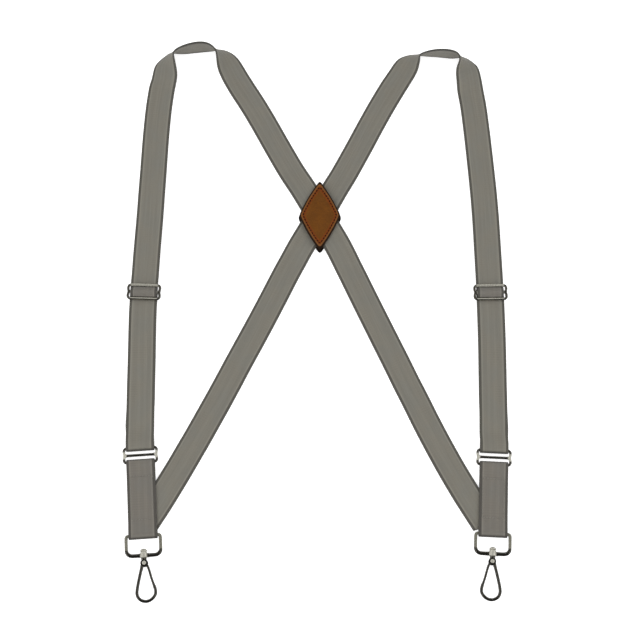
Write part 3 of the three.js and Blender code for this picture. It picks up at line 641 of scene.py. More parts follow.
def thread_material(name, rgb, sheen=0.2, shine=0.4):
    """Bonded sewing thread: two plies twisted round each other."""
    g = Graph(name)
    q = g.parts(g.attribute("lay"))
    twist = g.math("SINE", g.math("ADD", g.math("MULTIPLY", q[0], 2 * math.pi / 0.0007), g.math("MULTIPLY", q[1], 2.0)))
    fuzz = g.noise(g.place(), 6000.0, 3.0, 0.6)
    body = lin(*rgb)
    # Painted shade: the grooves between the twisted plies are darkened.
    c = g.mix(g.span(twist, -1.0, 0.4, 0.75, 0.0), col(body), col(tuple(x * 0.4 for x in body)))
    c = g.mix(g.span(fuzz, 0.35, 0.7, 0.0, 0.35), c, col(tuple(min(1, x * 1.5) for x in body)))
    n = g.bump(g.math("ADD", g.math("MULTIPLY", twist, 0.5), fuzz), 0.6, 0.00006)
    return g.set(Base_Color=c, Roughness=g.span(fuzz, 0.3, 0.7, 0.55, 0.8), Normal=n, Sheen_Weight=sheen,
                 Specular_IOR_Level=shine)


WEBBING = webbing_material("webbing_taupe", (127, 124, 115), 0.76)
WEBBING_HIP = webbing_material("webbing_hip", (121, 117, 110), 0.76)
NICKEL = nickel_material("nickel_plate", (0.54, 0.52, 0.46), (0.40, 0.37, 0.31), 0.07, 0.17)
# A darker copy of the nickel plate for hooks, rings and their parts: painted shade standing in for their dark
# reflections.
NICKEL_SHADED = nickel_material("nickel_plate_shaded", (0.37, 0.355, 0.31), (0.27, 0.25, 0.205), 0.07, 0.17)
LEATHER = leather_material("leather_cognac", lin(112, 64, 0, 0.76), lin(40, 24, 10, 0.5), lin(126, 84, 40, 0.80),
                           lin(136, 62, 0, 0.70))
LEATHER_DARK = leather_material("leather_backing", lin(46, 29, 17), lin(24, 15, 9), lin(52, 34, 20), lin(40, 24, 14))
THREAD_BROWN = thread_material("thread_brown", (52, 18, 4), 0.0, 0.12)
THREAD_GREY = thread_material("thread_grey", (112, 109, 101))


# ------------------------------------------------------------------ webbing
def flat_pair(x, y, z, dx, dy, s):
    h = WEB_W / 2
    nx, ny = -dy * s, dx * s
    return (x + nx * h, y + ny * h, z), (x - nx * h, y - ny * h, z)


def run_of(points, step):
    p = fine([(x, y) for x, y in points], step)
    t = np.gradient(p, axis=0)
    t /= np.linalg.norm(t, axis=1)[:, None]
    return np.hstack([p, t])


def hip_up(side):
    lean = math.radians(HIPS[side]["lean"])
    return np.array([-math.sin(lean), math.cos(lean)])


def strap_pairs(side):
    s = 1 if side == "left" else -1
    hip = HIPS[side]
    up = hip_up(side)
    bar = np.array(hip["bar"]) + up * (hip["length"] + SLIDER_PITCH)
    r = SLIDER_WIRE_R + GAP + WEB_T / 2
    loop = []
    for d in np.linspace(22, 2.2, 10):
        loop.append(flat_pair(*(bar + up * d), LOWER_Z - r, *up, s))
    for k in range(25):
        q = -math.pi / 2 - k / 24 * math.pi
        loop.append(flat_pair(*(bar + up * r * math.cos(q)), LOWER_Z + r * math.sin(q), *up, s))
    loop.append(flat_pair(*(bar + up * 1.4), LOWER_Z + r, *up, s))
    start = bar + up * 2.8
    rest = []
    front = run_of([tuple(start), tuple(bar + up * 5.5), *FRONT[side]], 2.4)
    y_top = UPPER[side]["at"][1]
    for x, y, dx, dy in front:
        z = MAIN_Z + (LOWER_Z + r - MAIN_Z) * (1 - smooth(bar[1] + 3, bar[1] + 17, y))
        # The front run stays one ply up as far as the adjuster can carry the sewn end under it.
        z += (WEB_T / 2 - MAIN_Z) * smooth(y_top + 98, y_top + 140, y)
        rest.append(flat_pair(x, y, z, dx, dy, s))
    rows = SHOULDER[side]
    outer, inner = [(a, b, 0.0) for a, b, *_ in rows], [(c, d, e) for *_, c, d, e in rows]
    n = (len(rows) - 1) * 6
    for i in range(n + 1):
        o, e = curve(outer, i / n), curve(inner, i / n)
        flat = math.hypot(e[0] - o[0], e[1] - o[1]) / WEB_W
        o[2] = (WEB_T / 2) * min(1, flat) + 0.02
        e[2] = max(e[2], WEB_T / 2)
        w = e - o
        rest.append((tuple(o), tuple(o + w / np.linalg.norm(w) * WEB_W)))
    top = 2 if side == "left" else 1
    cross = PATCH_T + GAP + (top - 1) * (WEB_T + GAP) + WEB_T / 2
    rise = (30, 60) if top == 2 else (30, 52)
    end_y = BACK_END[side][0][1]
    for x, y, dx, dy in run_of(BACK[side], 2.4):
        rr = math.hypot(x - PATCH_CENTRE[0], y - PATCH_CENTRE[1])
        z = WEB_T / 2 + (cross - WEB_T / 2) * (1 - smooth(rise[0], rise[1], rr))
        z += (MAIN_Z - WEB_T / 2) * (1 - smooth(end_y + 34, end_y + 64, y))
        rest.append(flat_pair(x, y, z, dx, dy, s))
    lo, hi = BACK_END[side]
    a, b = np.array(rest[-1])
    e0, e1 = np.array([*hi, MAIN_Z]), np.array([*lo, MAIN_Z])
    for f in (0.2, 0.4, 0.6, 0.8, 1.0):
        rest.append((tuple(a + (e0 - a) * f), tuple(b + (e1 - b) * f)))
    rest = np.array(rest).reshape(-1, 6)
    # Even steps, then relaxed so that the three runs join without a corner.
    rest = along(rest, 2.6)
    rest = soften(rest, 2, keep=1)
    head = np.array(loop).reshape(-1, 6)
    gap = np.linalg.norm(rest[:, :3] + rest[:, 3:] - head[-1, :3] - head[-1, 3:], axis=1) / 2
    rest = rest[np.argmax(gap > 0.8):]
    both = np.vstack([head, rest])
    o, i = both[:, :3], both[:, 3:]
    mid, w = (o + i) / 2, i - o
    last = np.arange(len(both)) >= len(both) - 8
    width = np.where(last, np.linalg.norm(w, axis=1), WEB_W)
    w = w / np.linalg.norm(w, axis=1)[:, None] * width[:, None] / 2
    return mid - w, mid + w


def station_up(side):
    return hip_up(side)


for side in ("left", "right"):
    o, i = strap_pairs(side)
    lift = max(0.0, -(min((o[:, 2] - WEB_T / 2).min(), (i[:, 2] - WEB_T / 2).min())) - 0.05)
    strap, length = web_mesh(f"webbing_strap_{side}", o, i, WEBBING)
    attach(strap, "straps")
    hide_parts(f"strap_{side}")

    # Ply that runs back under the front strap from the lower adjuster to the upper one.
    s = 1 if side == "left" else -1
    hip = HIPS[side]
    up = hip_up(side)
    d0 = hip["length"] + SLIDER_PITCH + 22 + GAP
    start = np.array(hip["bar"]) + up * d0
    path = [p for p in FRONT[side] if start[1] + 8 < p[1] < UPPER[side]["at"][1] - 4]
    end = (UPPER[side]["at"][0] * 0.5 + FRONT[side][8][0] * 0.5, UPPER[side]["at"][1] + 3)
    pairs = [flat_pair(x, y, RETURN_Z, dx, dy, s) for x, y, dx, dy in run_of([tuple(start), *path, end], 3.4)]
    pairs[0] = flat_pair(*start, RETURN_Z, *up, s)
    pairs = np.array(pairs)
    ply, length = web_mesh(f"webbing_return_{side}", pairs[:, 0], pairs[:, 1], WEBBING)
    b = LAYOUT @ Vector((*end, RETURN_Z))
    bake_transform(ply)
    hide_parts(f"strap_return_{side}")

    # Turn of webbing over the upper adjuster's centre bar.
    at = UPPER[side]["at"]
    upper = (LAYOUT @ Matrix.Translation((at[0], at[1], UPPER_Z))
             @ Matrix.Rotation(math.radians(UPPER[side]["lean"]), 4, "Z"))
    r = SLIDER_WIRE_R + GAP + WEB_T / 2
    low = 2 * (WEB_T + GAP) + WEB_T / 2 - UPPER_Z
    pts = [(-4.35, low), (-3.6, low + 0.5)]
    for k in range(7):
        q = math.pi * (0.93 - 0.86 * (k / 6))
        pts.append((r * 1.12 * math.cos(q), r * math.sin(q)))
    pts += [(3.6, low + 0.5), (4.35, low)]
    pts = fine(pts, 0.55)
    pts = soften(pts, 3, keep=1)
    o = np.array([(-12.0, y, z) for y, z in pts])
    hump, length = web_mesh(f"webbing_turn_{side}", o, o * (-1, 1, 1), WEBBING_HIP, matrix=upper, thick=0.97, shade=0.0)
    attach(hump, f"adjuster_{side}")
    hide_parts(f"strap_hump_{side}")

    # Hip webbing, folded round the ring bar and the lower adjuster's bottom bar.
    length = hip["length"]
    place = (LAYOUT @ Matrix.Translation((hip["bar"][0], hip["bar"][1], 0))
             @ Matrix.Rotation(math.radians(hip["lean"]), 4, "Z"))
    rr, rs = RING_WIRE_R + GAP + WEB_T / 2, SLIDER_WIRE_R + GAP + WEB_T / 2
    top_y = length - SLIDER_PITCH
    upper_z = 2 * (WEB_T + GAP) + WEB_T / 2

    def down(y):
        a, b = LOWER_Z + rs, RING_Z + rr
        return upper_z + (a - upper_z) * smooth(top_y - 12, top_y - 1, y) + (b - upper_z) * (1 - smooth(1, 12, y))

    pts = [(rr * math.cos(q), RING_Z + rr * math.sin(q)) for q in np.linspace(math.pi / 2, 1.5 * math.pi, 22)]
    pts += [(f * top_y, WEB_T / 2) for f in np.linspace(0.06, 0.95, 26)]
    pts += [(top_y + rs * math.cos(q), LOWER_Z + rs * math.sin(q)) for q in np.linspace(-math.pi / 2, math.pi / 2, 20)]
    pts += [(y, float(down(y))) for y in np.linspace(top_y - 1.5, 1.5, 34)]
    o = np.array([(-WEB_W / 2, y, z) for y, z in pts])
    band, around = web_mesh(f"webbing_hip_{side}", o, o * (-1, 1, 1), WEBBING_HIP, closed=True, matrix=place)
    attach(band, "straps")
    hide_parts(f"hip_strap_{side}")

# ------------------------------------------------------------------ stitches
def stitches(name, path, pitch, length, radius, rise, matrix, material, closed=True, tilt=0.0, sink=0.0):
    """Separate lockstitches along a path: each a slim bent capsule whose ends dive in."""
    line = along(path, 0.1, closed=closed)
    n = len(line)
    total = n * 0.1
    count = max(2, int(round(total / pitch)))
    verts, faces, att = [], [], []
    sides = 10
    for c in range(count):
        m = (c + 0.5) / count * (n if closed else n - 1)
        here = line[int(m) % n]
        ahead, behind = line[(int(m) + 4) % n if closed else min(n - 1, int(m) + 4)], line[int(m) - 4 if closed else max(0, int(m) - 4)]
        t = ahead - behind
        t = t / np.linalg.norm(t)
        q = math.radians(tilt + rng.uniform(-2.0, 2.0))
        t = np.array([t[0] * math.cos(q) - t[1] * math.sin(q), t[0] * math.sin(q) + t[1] * math.cos(q), t[2]])
        side = np.cross(t, (0, 0, 1))
        l = length * rng.uniform(0.96, 1.03)
        base = len(verts)
        rows = 11
        for a in range(rows):
            f = a / (rows - 1) * 2 - 1
            r = radius * math.sqrt(max(0.0, 1 - abs(f) ** 5)) + radius * 0.12
            z = rise * (1 - f * f) - sink
            for k in range(sides):
                p = 2 * math.pi * k / sides
                verts.append(here + t * f * l / 2 + side * r * math.cos(p) + np.array([0, 0, z + r * 0.85 * math.sin(p)]))
                att.append((f * l / 2 * 0.001, p, 0.0))
        faces += grid_faces(rows, sides, False, base)
        faces.append(tuple(base + k for k in range(sides)))
        faces.append(tuple(base + (rows - 1) * sides + k for k in range(sides))[::-1])
    return piece(name, verts, faces, matrix, {"lay": att}, material)


for side in ("left", "right"):
    hip = HIPS[side]
    place = (LAYOUT @ Matrix.Translation((hip["bar"][0], hip["bar"][1], 0))
             @ Matrix.Rotation(math.radians(hip["lean"]), 4, "Z"))
    z = 2 * (WEB_T + GAP) + WEB_T + 0.10
    b = hip["length"] - SLIDER_PITCH - 13
    rect = [(-9.6, 13.5, z), (9.6, 13.5, z), (9.6, b, z), (-9.6, b, z)]
    row = stitches(f"box_stitching_{side}", rect, 2.7, 2.2, 0.22, 0.12, place, THREAD_GREY, tilt=3.0, sink=0.04)
    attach(row, "straps")
    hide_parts(f"hip_seam_{side}")


# ------------------------------------------------------------------ leather
def diamond_outline(half_w, half_h, bulge, tip, n=26, relax=3):
    corners = [(0, half_h), (half_w, 0), (0, -half_h), (-half_w, 0)]
    out = []
    for k in range(4):
        a, b = np.array(corners[k], float), np.array(corners[(k + 1) % 4], float)
        d = b - a
        l = np.linalg.norm(d)
        nrm = np.array([d[1], -d[0]]) / l
        if np.dot(a + b, nrm) < 0:
            nrm = -nrm
        for i in range(n + 1):
            f = tip / l + (1 - 2 * tip / l) * i / n
            out.append(a + d * f + nrm * bulge * 4 * f * (1 - f))
    out = along(np.array(out), 1.05, closed=True)
    for _ in range(relax):
        out = 0.25 * np.roll(out, 1, 0) + 0.5 * out + 0.25 * np.roll(out, -1, 0)
    return out


R_IN = PATCH_HALF_W * PATCH_HALF_H / math.hypot(PATCH_HALF_W, PATCH_HALF_H)


def leather_piece(name, outline, z0, z1, matrix, material, crown=0.35, groove=None):
    """A skived leather lozenge: rounded rim, a sewn channel and a low crown."""
    n = len(outline)
    verts, ins = [], []
    rows = []
    t = z1 - z0

    def top(d):
        z = z1 - 0.55 * max(0.0, 1 - d / 1.3) ** 2 + crown * smooth(3.5, 13.0, d)
        z += 0.16 * float(smooth(0.7, 1.9, d)) * (1 - float(smooth(2.2, 3.2, d)))
        if groove:
            z -= 0.32 * math.exp(-((d - groove) / 0.42) ** 2)
        return float(z)

    rim = [(0.55, z0), (0.2, z0 + 0.12), (0.03, z0 + 0.4), (0.0, z0 + t * 0.45), (0.04, z0 + t * 0.62)]
    down_rows = [(R_IN * f, z0) for f in (0.85, 0.55, 0.25)]
    steps = [0.16, 0.34, 0.6, 0.9, 1.3, 1.8, 2.3, 2.7, 3.0, 3.2, 3.4, 3.65, 4.0, 4.6, 5.4, 6.4, 7.6, 9.0, 10.6, 12.4, 14.2, 15.6]
    for d, z in down_rows + rim + [(d, top(d)) for d in steps]:
        k = 1 - d / R_IN
        rows.append(len(verts))
        for x, y in outline:
            verts.append((x * k, y * k, z))
            ins.append(d)
    bottom = len(verts)
    verts.append((0, 0, z0))
    ins.append(R_IN)
    verts.append((0, 0, top(R_IN)))
    ins.append(R_IN)
    faces = grid_faces(len(rows), n, False)
    for k in range(n):
        faces.append((bottom, k, (k + 1) % n))
        faces.append((rows[-1] + k, bottom + 1, rows[-1] + (k + 1) % n))
    tips = [math.dist((abs(v[0]), abs(v[1])), (0, PATCH_HALF_H)) for v in verts]
    ends = [math.dist((abs(v[0]), abs(v[1])), (PATCH_HALF_W, 0)) + 2.2 for v in verts]
    return piece(name, verts, faces, matrix, {"inset": ins, "tip": np.minimum(tips, ends)}, material)


patch_at = LAYOUT @ Matrix.Translation((PATCH_CENTRE[0], PATCH_CENTRE[1], 0))
front_z = PATCH_T + 2 * (WEB_T + GAP) + GAP
front = leather_piece("leather_patch", diamond_outline(PATCH_HALF_W, PATCH_HALF_H + 0.5, 1.2, 0.7), front_z,
                      front_z + PATCH_T, patch_at, LEATHER, groove=3.2)
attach(front, "straps")
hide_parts("patch_front")
back_outline = diamond_outline(PATCH_HALF_W + 1.0, PATCH_HALF_H + 1.2, 1.0, 0.9, relax=4)
backing = leather_piece("leather_backing", back_outline, 0.0, PATCH_T, patch_at, LEATHER_DARK, crown=0.0)
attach(backing, "straps")
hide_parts("patch_back")
seam_line = diamond_outline(PATCH_HALF_W, PATCH_HALF_H + 0.5, 1.2, 0.7) * (1 - 3.2 / R_IN)
seam = stitches("patch_stitching", np.column_stack([seam_line, np.full(len(seam_line), front_z + PATCH_T)]),
                3.0, 1.9, 0.46, 0.22, patch_at, THREAD_BROWN, tilt=6.0, sink=0.02)
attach(seam, "straps")
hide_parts("patch_seam")


# ------------------------------------------------------------------ hardware
def arc(cx, cy, r, a0, a1, n):
    return [(cx + r * math.cos(math.radians(a0 + (a1 - a0) * i / n)), cy + r * math.sin(math.radians(a0 + (a1 - a0) * i / n)), 0.0)
            for i in range(n + 1)]


def tri_glide(name, matrix, material, satin_and_reflection):
    w, h, c = SLIDER_HALF_W, SLIDER_PITCH, 2.4
    path = [*arc(w - c, h - c, c, 90, 0, 10), (w - 0.25, 2.0, 0), (w - SLIDER_NOTCH, 0, 0), (w - 0.25, -2.0, 0),
            *arc(w - c, -h + c, c, 0, -90, 10), (0, -h, 0), *arc(-w + c, -h + c, c, -90, -180, 10),
            (-w + 0.25, -2.0, 0), (-w + SLIDER_NOTCH, 0, 0), (-w + 0.25, 2.0, 0), *arc(-w + c, h - c, c, 180, 90, 10), (0, h, 0)]
    path = along(path, 0.62, closed=True)
    for _ in range(5):
        path = 0.25 * np.roll(path, 1, 0) + 0.5 * path + 0.25 * np.roll(path, -1, 0)
    frame_ = scrap(*sweep(path, SLIDER_WIRE_R, SLIDER_WIRE_R, closed=True, sides=20))
    x = np.linspace(-w + SLIDER_NOTCH + 0.1, w - SLIDER_NOTCH - 0.1, 40)
    d = np.minimum(x - x[0], x[-1] - x)
    r = SLIDER_WIRE_R * (0.97 + 0.28 * np.exp(-((d - 1.0) / 0.9) ** 2) * (d > 0.6) - 0.35 * (d < 0.6))
    bar = sweep(np.column_stack([x, 0 * x, 0 * x]), r, np.minimum(r, SLIDER_WIRE_R * 1.06), sides=20, round_ends=False)
    return settle(boolean(frame_, [("UNION", bar)]), name, matrix, material, satin_and_reflection)


BOSS_TOP = -RING_DROP + 3.4
BOSS_BOTTOM = -RING_DROP - 1.9


def d_ring(name, matrix, material):
    w, c, e = RING_HALF_W, RING_CORNER_R, 1.5
    path = [*arc(w - e, -e, e, 90, 0, 8), (w, -RING_DROP * 0.4, 0), *arc(w - c, -RING_DROP + c, c, 0, -90, 12),
            (5, -RING_DROP, 0), (-5, -RING_DROP, 0), *arc(-w + c, -RING_DROP + c, c, -90, -180, 12),
            (-w, -RING_DROP * 0.4, 0), *arc(-w + e, -e, e, 180, 90, 8), (0, 0, 0)]
    path = along(path, 0.62, closed=True)
    for _ in range(4):
        path = 0.25 * np.roll(path, 1, 0) + 0.5 * path + 0.25 * np.roll(path, -1, 0)
    near = np.exp(-((np.abs(path[:, 0]) - 3.0) / 1.4) ** 2) * (path[:, 1] < -RING_DROP + 2)
    near = np.where((np.abs(path[:, 0]) < 3.0) & (path[:, 1] < -RING_DROP + 2), 1.0, near)
    # The wire is heavier along the bottom, and swells into the barrel.
    low = 1 - smooth(-RING_DROP + 1.5, -RING_DROP + 6.5, path[:, 1])
    wire = RING_WIRE_R * (1 + 0.17 * low + 0.13 * near)
    ring = scrap(*sweep(path, wire, wire, closed=True, sides=22))
    prof = rounded([(0, BOSS_BOTTOM), (2.75, BOSS_BOTTOM), (BOSS_R, BOSS_BOTTOM + 0.7), (BOSS_R, -RING_DROP + 0.3),
                    (BOSS_R - 0.25, BOSS_TOP - 1.2), (2.45, BOSS_TOP), (0, BOSS_TOP)], [0, 0.35, 0.5, 0.5, 0.6, 0.45, 0])
    bore = lathe([(0, -RING_DROP - 6), (STEM_R + GAP, -RING_DROP - 6), (STEM_R + GAP, -RING_DROP + 6), (0, -RING_DROP + 6)], 28)

    # Painted highlight: the barrel is pale satin. Painted reflection: the arms' satin is a dark grey tone.
    def satin_and_reflection(p, n):
        barrel = (np.abs(p[:, 0]) < BOSS_R + 0.05) & (p[:, 1] < -RING_DROP + 4)
        arms = smooth(w - 4.0, w - 1.6, np.abs(p[:, 0])) * smooth(-RING_DROP + 2.2, -RING_DROP + 7.5, p[:, 1])
        return np.where(barrel, 1.0, arms), np.where(barrel, 0.80, 0.0)

    return settle(boolean(ring, [("UNION", lathe(prof, 36)), ("DIFFERENCE", bore)]), name, matrix, material, satin_and_reflection)


HEAD_Y = BOSS_TOP + GAP
NECK_TOP = BOSS_BOTTOM - GAP
STEM_END = NECK_TOP - 1.4


def swivel_stem(name, matrix, material):
    prof = rounded([(0, STEM_END), (STEM_R, STEM_END), (STEM_R, HEAD_Y), (2.9, HEAD_Y), (2.95, HEAD_Y + 0.55),
                    (2.4, HEAD_Y + 1.5), (1.35, HEAD_Y + 2.12), (0, HEAD_Y + 2.35)], [0, 0.3, 0.15, 0.2, 0.4, 0.6, 0.7, 0], 4)
    v, f = lathe(prof, 32)
    # Pale satin, a painted highlight like the ring's barrel.
    return piece(name, v, f, matrix, {"satin_and_reflection": [(1.0, 0.80, 0.0)] * len(v)}, material, 40)


PIN_AT = (0.2, -24.2)
EYE_R = 3.2


def hook_body(name, matrix, material):
    wire = [(-1.2, -25.2), (-2.3, -28.4), (-4.9, -38.3), (-6.7, -46.5), (-7.0, -50.4), (-5.4, -54.4), (-1.8, -56.7),
            (2.2, -56.9), (6.0, -55.0), (8.5, -51.8), (9.0, -48.6), (8.1, -44.3)]
    line = fine([(x, y, 0.0) for x, y in wire], 0.62)
    m = len(line)
    f = np.linspace(0, 1, m)
    # The wire is a little stouter at its root and where it turns.
    r = HOOK_WIRE_R * (1 + 0.28 * np.exp(-((f - 0.0) / 0.05) ** 2) + 0.03 * np.exp(-((f - 0.55) / 0.15) ** 2))
    body = scrap(*sweep(line, r, r * (HOOK_WIRE_R + 0.15) / HOOK_WIRE_R, sides=20))
    neck = lathe(rounded([(0, NECK_TOP - 3.8), (2.45, NECK_TOP - 3.4), (2.05, NECK_TOP - 1.6), (2.35, NECK_TOP - 0.7),
                          (2.3, NECK_TOP), (0, NECK_TOP)], [0, 0.3, 0.8, 0.4, 0.3, 0]), 32)
    eye = disc(EYE_R, 2.3, 0.45, PIN_AT, sides=40)
    bore = lathe([(0, STEM_END - GAP), (STEM_R + GAP, STEM_END - GAP), (STEM_R + GAP, STEM_END - GAP + 4), (0, STEM_END - GAP + 4)], 28)
    well = disc(2.5, 1.5, 0.02, PIN_AT, sides=36)
    mouth = box((6.0, 6.3, 3.0), (2.2, -26.0, 0))
    hole = disc(PIN_R + 0.02, 4.0, 0.0, PIN_AT, sides=28)
    boolean(body, [("UNION", neck), ("UNION", eye), ("DIFFERENCE", bore), ("DIFFERENCE", well), ("DIFFERENCE", mouth),
                   ("DIFFERENCE", hole)])
    return settle(body, name, matrix, material)


def hook_gate(name, matrix, material):
    line = fine([(2.75, -26.6, 0.0), (3.6, -28.6, 0), (4.6, -32.2, 0), (5.9, -37.6, 0), (7.7, -43.45, 0)], 0.6)
    f = np.linspace(0, 1, len(line))
    r = GATE_R * (1 + 0.10 * np.exp(-((f - 1) / 0.06) ** 2))
    arm = scrap(*sweep(line, r, r * (GATE_R + 0.1) / GATE_R, sides=18))
    web = sweep(fine([(1.3, -25.0, -0.5), (2.3, -26.4, -0.45), (3.4, -28.1, -0.3)], 0.5), 0.95, 0.68, sides=14)
    knuckle = disc(2.2, 0.7, 0.18, PIN_AT, -0.5, 32)
    hole = disc(PIN_R + 0.12, 4.0, 0.0, PIN_AT, sides=28)
    boolean(arm, [("UNION", web), ("UNION", knuckle), ("DIFFERENCE", hole)])
    return settle(arm, name, matrix, material)


def rivet(name, matrix, material):
    half = 2.3
    prof = [(0, -half - 0.42), (0.7, -half - 0.38), (1.35, -half - 0.22), (1.72, -half), (1.15, -half + 0.02), (PIN_R, -half + 0.12),
            (PIN_R, half - 0.12), (1.15, half - 0.02), (1.72, half), (1.35, half + 0.22), (0.7, half + 0.38), (0, half + 0.42)]
    v, f = lathe(prof, 32)
    v = np.stack([v[:, 0] + PIN_AT[0], -v[:, 2] + PIN_AT[1], v[:, 1]], axis=1)
    # Pale satin, a painted highlight like the ring's barrel.
    return piece(name, v, f, matrix, {"satin_and_reflection": [(1.0, 0.80, 0.0)] * len(v)}, material, 42)


def torsion_spring(name, matrix, material):
    pts = []
    n = 110
    for i in range(n + 1):
        q = i / n * 2 * math.pi * 2.4
        pts.append((PIN_AT[0] + 1.72 * math.cos(q), PIN_AT[1] + 1.72 * math.sin(q), 0.55 + 0.75 * i / n))
    v, f = sweep(pts, 0.13, 0.13, sides=8)
    return piece(name, v, f, matrix, None, material)


def bars_reflection_and_shadow(p, n):
    """The long bars of an upper adjuster are satin and painted pale, a painted reflection; the ends keep their polish.
    """
    # Painted shadow: the downward face of the lower bar keeps the dark polish, a dark line beneath it.
    under = (p[:, 1] < -3) * smooth(0.0, 0.5, -n[:, 1])
    return (1 - smooth(SLIDER_HALF_W - 2.8, SLIDER_HALF_W - 1.2, np.abs(p[:, 0]))) * (1 - under), 0.55


def sides_highlight(p, n):
    """The notched sides of a lower adjuster are satin and painted pale, a painted highlight."""
    return (smooth(SLIDER_HALF_W - 3.2, SLIDER_HALF_W - 1.8, np.abs(p[:, 0]))
            * (1 - smooth(2.2, 4.4, np.abs(p[:, 1])))), 0.85


def metal(ob, body, node):
    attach(ob, body)
    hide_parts(node)


for side in ("left", "right"):
    at = UPPER[side]["at"]
    upper = (LAYOUT @ Matrix.Translation((at[0], at[1], UPPER_Z))
             @ Matrix.Rotation(math.radians(UPPER[side]["lean"]), 4, "Z"))
    hip = (LAYOUT @ Matrix.Translation((HIPS[side]["bar"][0], HIPS[side]["bar"][1], 0))
           @ Matrix.Rotation(math.radians(HIPS[side]["lean"]), 4, "Z"))
    ring = hip @ Matrix.Translation((0, 0, RING_Z))
    hook = ring @ Matrix.Translation((0, -RING_DROP, 0)) @ Matrix.Rotation(math.radians(HOOK_DROOP), 4, "X")
    if side == "right":
        hook = hook @ Matrix.Rotation(math.pi, 4, "Y")
    hook = hook @ Matrix.Translation((0, RING_DROP, 0))
    metal(tri_glide(f"tri_glide_upper_{side}", upper, NICKEL, bars_reflection_and_shadow), f"adjuster_{side}", f"slider_upper_{side}")
    metal(tri_glide(f"tri_glide_lower_{side}", hip @ Matrix.Translation((0, HIPS[side]["length"], LOWER_Z)), NICKEL, sides_highlight),
          "straps", f"slider_lower_{side}")
    metal(d_ring(f"ring_{side}", ring, NICKEL_SHADED), f"ring_{side}", f"d_ring_{side}")
    metal(swivel_stem(f"stem_{side}", hook, NICKEL_SHADED), f"hook_{side}", f"swivel_stem_{side}")
    metal(hook_body(f"hook_wire_{side}", hook, NICKEL_SHADED), f"hook_{side}", f"hook_{side}")
    metal(hook_gate(f"gate_arm_{side}", hook, NICKEL_SHADED), f"gate_{side}", f"gate_{side}")
    metal(rivet(f"rivet_{side}", hook, NICKEL_SHADED), f"hook_{side}", f"gate_pin_{side}")
    metal(torsion_spring(f"spring_{side}", hook, NICKEL_SHADED), f"hook_{side}", f"gate_spring_{side}")

# ------------------------------------------------------------------ stage
def stage_plane(name, size, z, material):
    me = bpy.data.meshes.new(name)
    h = size / 2
    me.from_pydata([(-h, -h, z), (h, -h, z), (h, h, z), (-h, h, z)], [], [(0, 1, 2, 3)])
    me.materials.append(material)
    ob = bpy.data.objects.new(name, me)
    bpy.context.scene.collection.objects.link(ob)
    return ob


g = Graph("floor_paper")
paper = g.noise(g.place(), 40.0, 3.0, 0.5)
FLOOR = g.set(Base_Color=g.mix(g.span(paper, 0.3, 0.7), (0.72, 0.72, 0.72, 1), (0.735, 0.735, 0.73, 1)), Roughness=0.9,
              Specular_IOR_Level=0.1, Emission_Color=(1.0, 1.0, 1.0, 1.0), Emission_Strength=0.66)
stage_plane("floor", 9.0, -0.0002, FLOOR).visible_glossy = False


def area(name, at, to, size, power, color=(1, 1, 1)):
    l = bpy.data.lights.new(name, "AREA")
    l.shape = "RECTANGLE"
    l.size, l.size_y = size
    l.energy = power
    l.color = color
    ob = bpy.data.objects.new(name, l)
    ob.location = at
    ob.rotation_euler = (Vector(to) - Vector(at)).to_track_quat("-Z", "Y").to_euler()
    bpy.context.scene.collection.objects.link(ob)
    ob.visible_glossy = False
    return ob


area("softbox_left", (-1.75, -0.35, 1.5), (0, 0, 0), (2.4, 1.8), 22)
area("softbox_right", (1.75, -0.35, 1.5), (0, 0, 0), (2.4, 1.8), 18)
area("softbox_front", (0.0, -1.7, 0.75), (0, 0.1, 0), (2.6, 0.9), 8)

world = bpy.data.worlds.new("studio")
bpy.context.scene.world = world
world.use_nodes = True
wt = world.node_tree
bg = next(n for n in wt.nodes if n.type == "BACKGROUND")
# The tent is even white for the floor and cloth. Polished metal sees the dark
# studio past it, with a bright strip behind and one at each side.
coord = wt.nodes.new("ShaderNodeTexCoord")
sep = wt.nodes.new("ShaderNodeSeparateXYZ")
wt.links.new(coord.outputs["Generated"], sep.inputs[0])


def world_math(op, a, b=None, clamp=False):
    n = wt.nodes.new("ShaderNodeMath")
    n.operation, n.use_clamp = op, clamp
    for s, v in zip(n.inputs, (a, b)):
        if isinstance(v, bpy.types.NodeSocket):
            wt.links.new(v, s)
        elif v is not None:
            s.default_value = v
    return n.outputs[0]


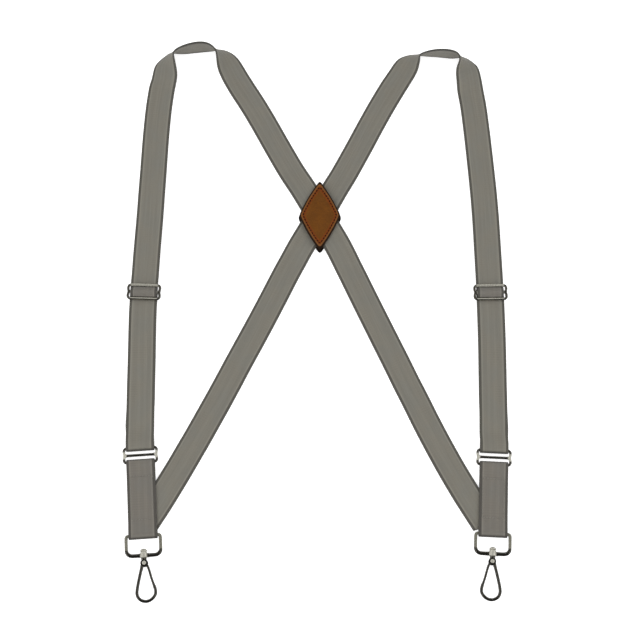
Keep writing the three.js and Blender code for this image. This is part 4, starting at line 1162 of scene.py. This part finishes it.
def world_span(value, a, b):
    n = wt.nodes.new("ShaderNodeMapRange")
    n.interpolation_type = "SMOOTHSTEP"
    wt.links.new(value, n.inputs[0])
    n.inputs[1].default_value, n.inputs[2].default_value = a, b
    return n.outputs[0]


dx, dy, dz = sep.outputs[0], sep.outputs[1], sep.outputs[2]
ax = world_math("ABSOLUTE", dx)
back_strip = world_math("MULTIPLY", world_math("MULTIPLY", world_span(dy, 0.60, 0.70), world_span(dy, 0.92, 0.84)), world_span(dz, 0.05, 0.2))
side_strip = world_math("MULTIPLY", world_math("MULTIPLY", world_span(ax, 0.62, 0.74), world_span(ax, 0.93, 0.86)), world_span(dz, 0.05, 0.2))
below = world_math("MULTIPLY", world_span(dz, 0.02, -0.25), 0.045)
level = world_math("ADD", world_math("MULTIPLY", back_strip, 0.40), world_math("MULTIPLY", side_strip, 0.65))
level = world_math("ADD", world_math("ADD", level, below), 0.03)
shine = wt.nodes.new("ShaderNodeBackground")
wt.links.new(level, shine.inputs[0])
path = wt.nodes.new("ShaderNodeLightPath")
blend_ = wt.nodes.new("ShaderNodeMixShader")
out = next(n for n in wt.nodes if n.type == "OUTPUT_WORLD")
wt.links.new(path.outputs["Is Glossy Ray"], blend_.inputs[0])
wt.links.new(bg.outputs[0], blend_.inputs[1])
wt.links.new(shine.outputs[0], blend_.inputs[2])
wt.links.new(blend_.outputs[0], out.inputs[0])
bg.inputs[0].default_value = (1.0, 1.0, 1.0, 1.0)
bg.inputs[1].default_value = 1.0

# ------------------------------------------------------------------ camera
cam = bpy.data.cameras.new("camera")
cam.sensor_width = 36.0
cam.lens = 93.0
cam.clip_start, cam.clip_end = 0.05, 50.0
cam_ob = bpy.data.objects.new("camera", cam)
cam_ob.location = (0.00259, -0.5231, 1.4095)
cam_ob.rotation_euler = (math.radians(20.0), 0, 0)
bpy.context.scene.collection.objects.link(cam_ob)
bpy.context.scene.camera = cam_ob
bpy.context.scene.view_settings.view_transform = "Standard"
bpy.context.scene.view_settings.look = "None"
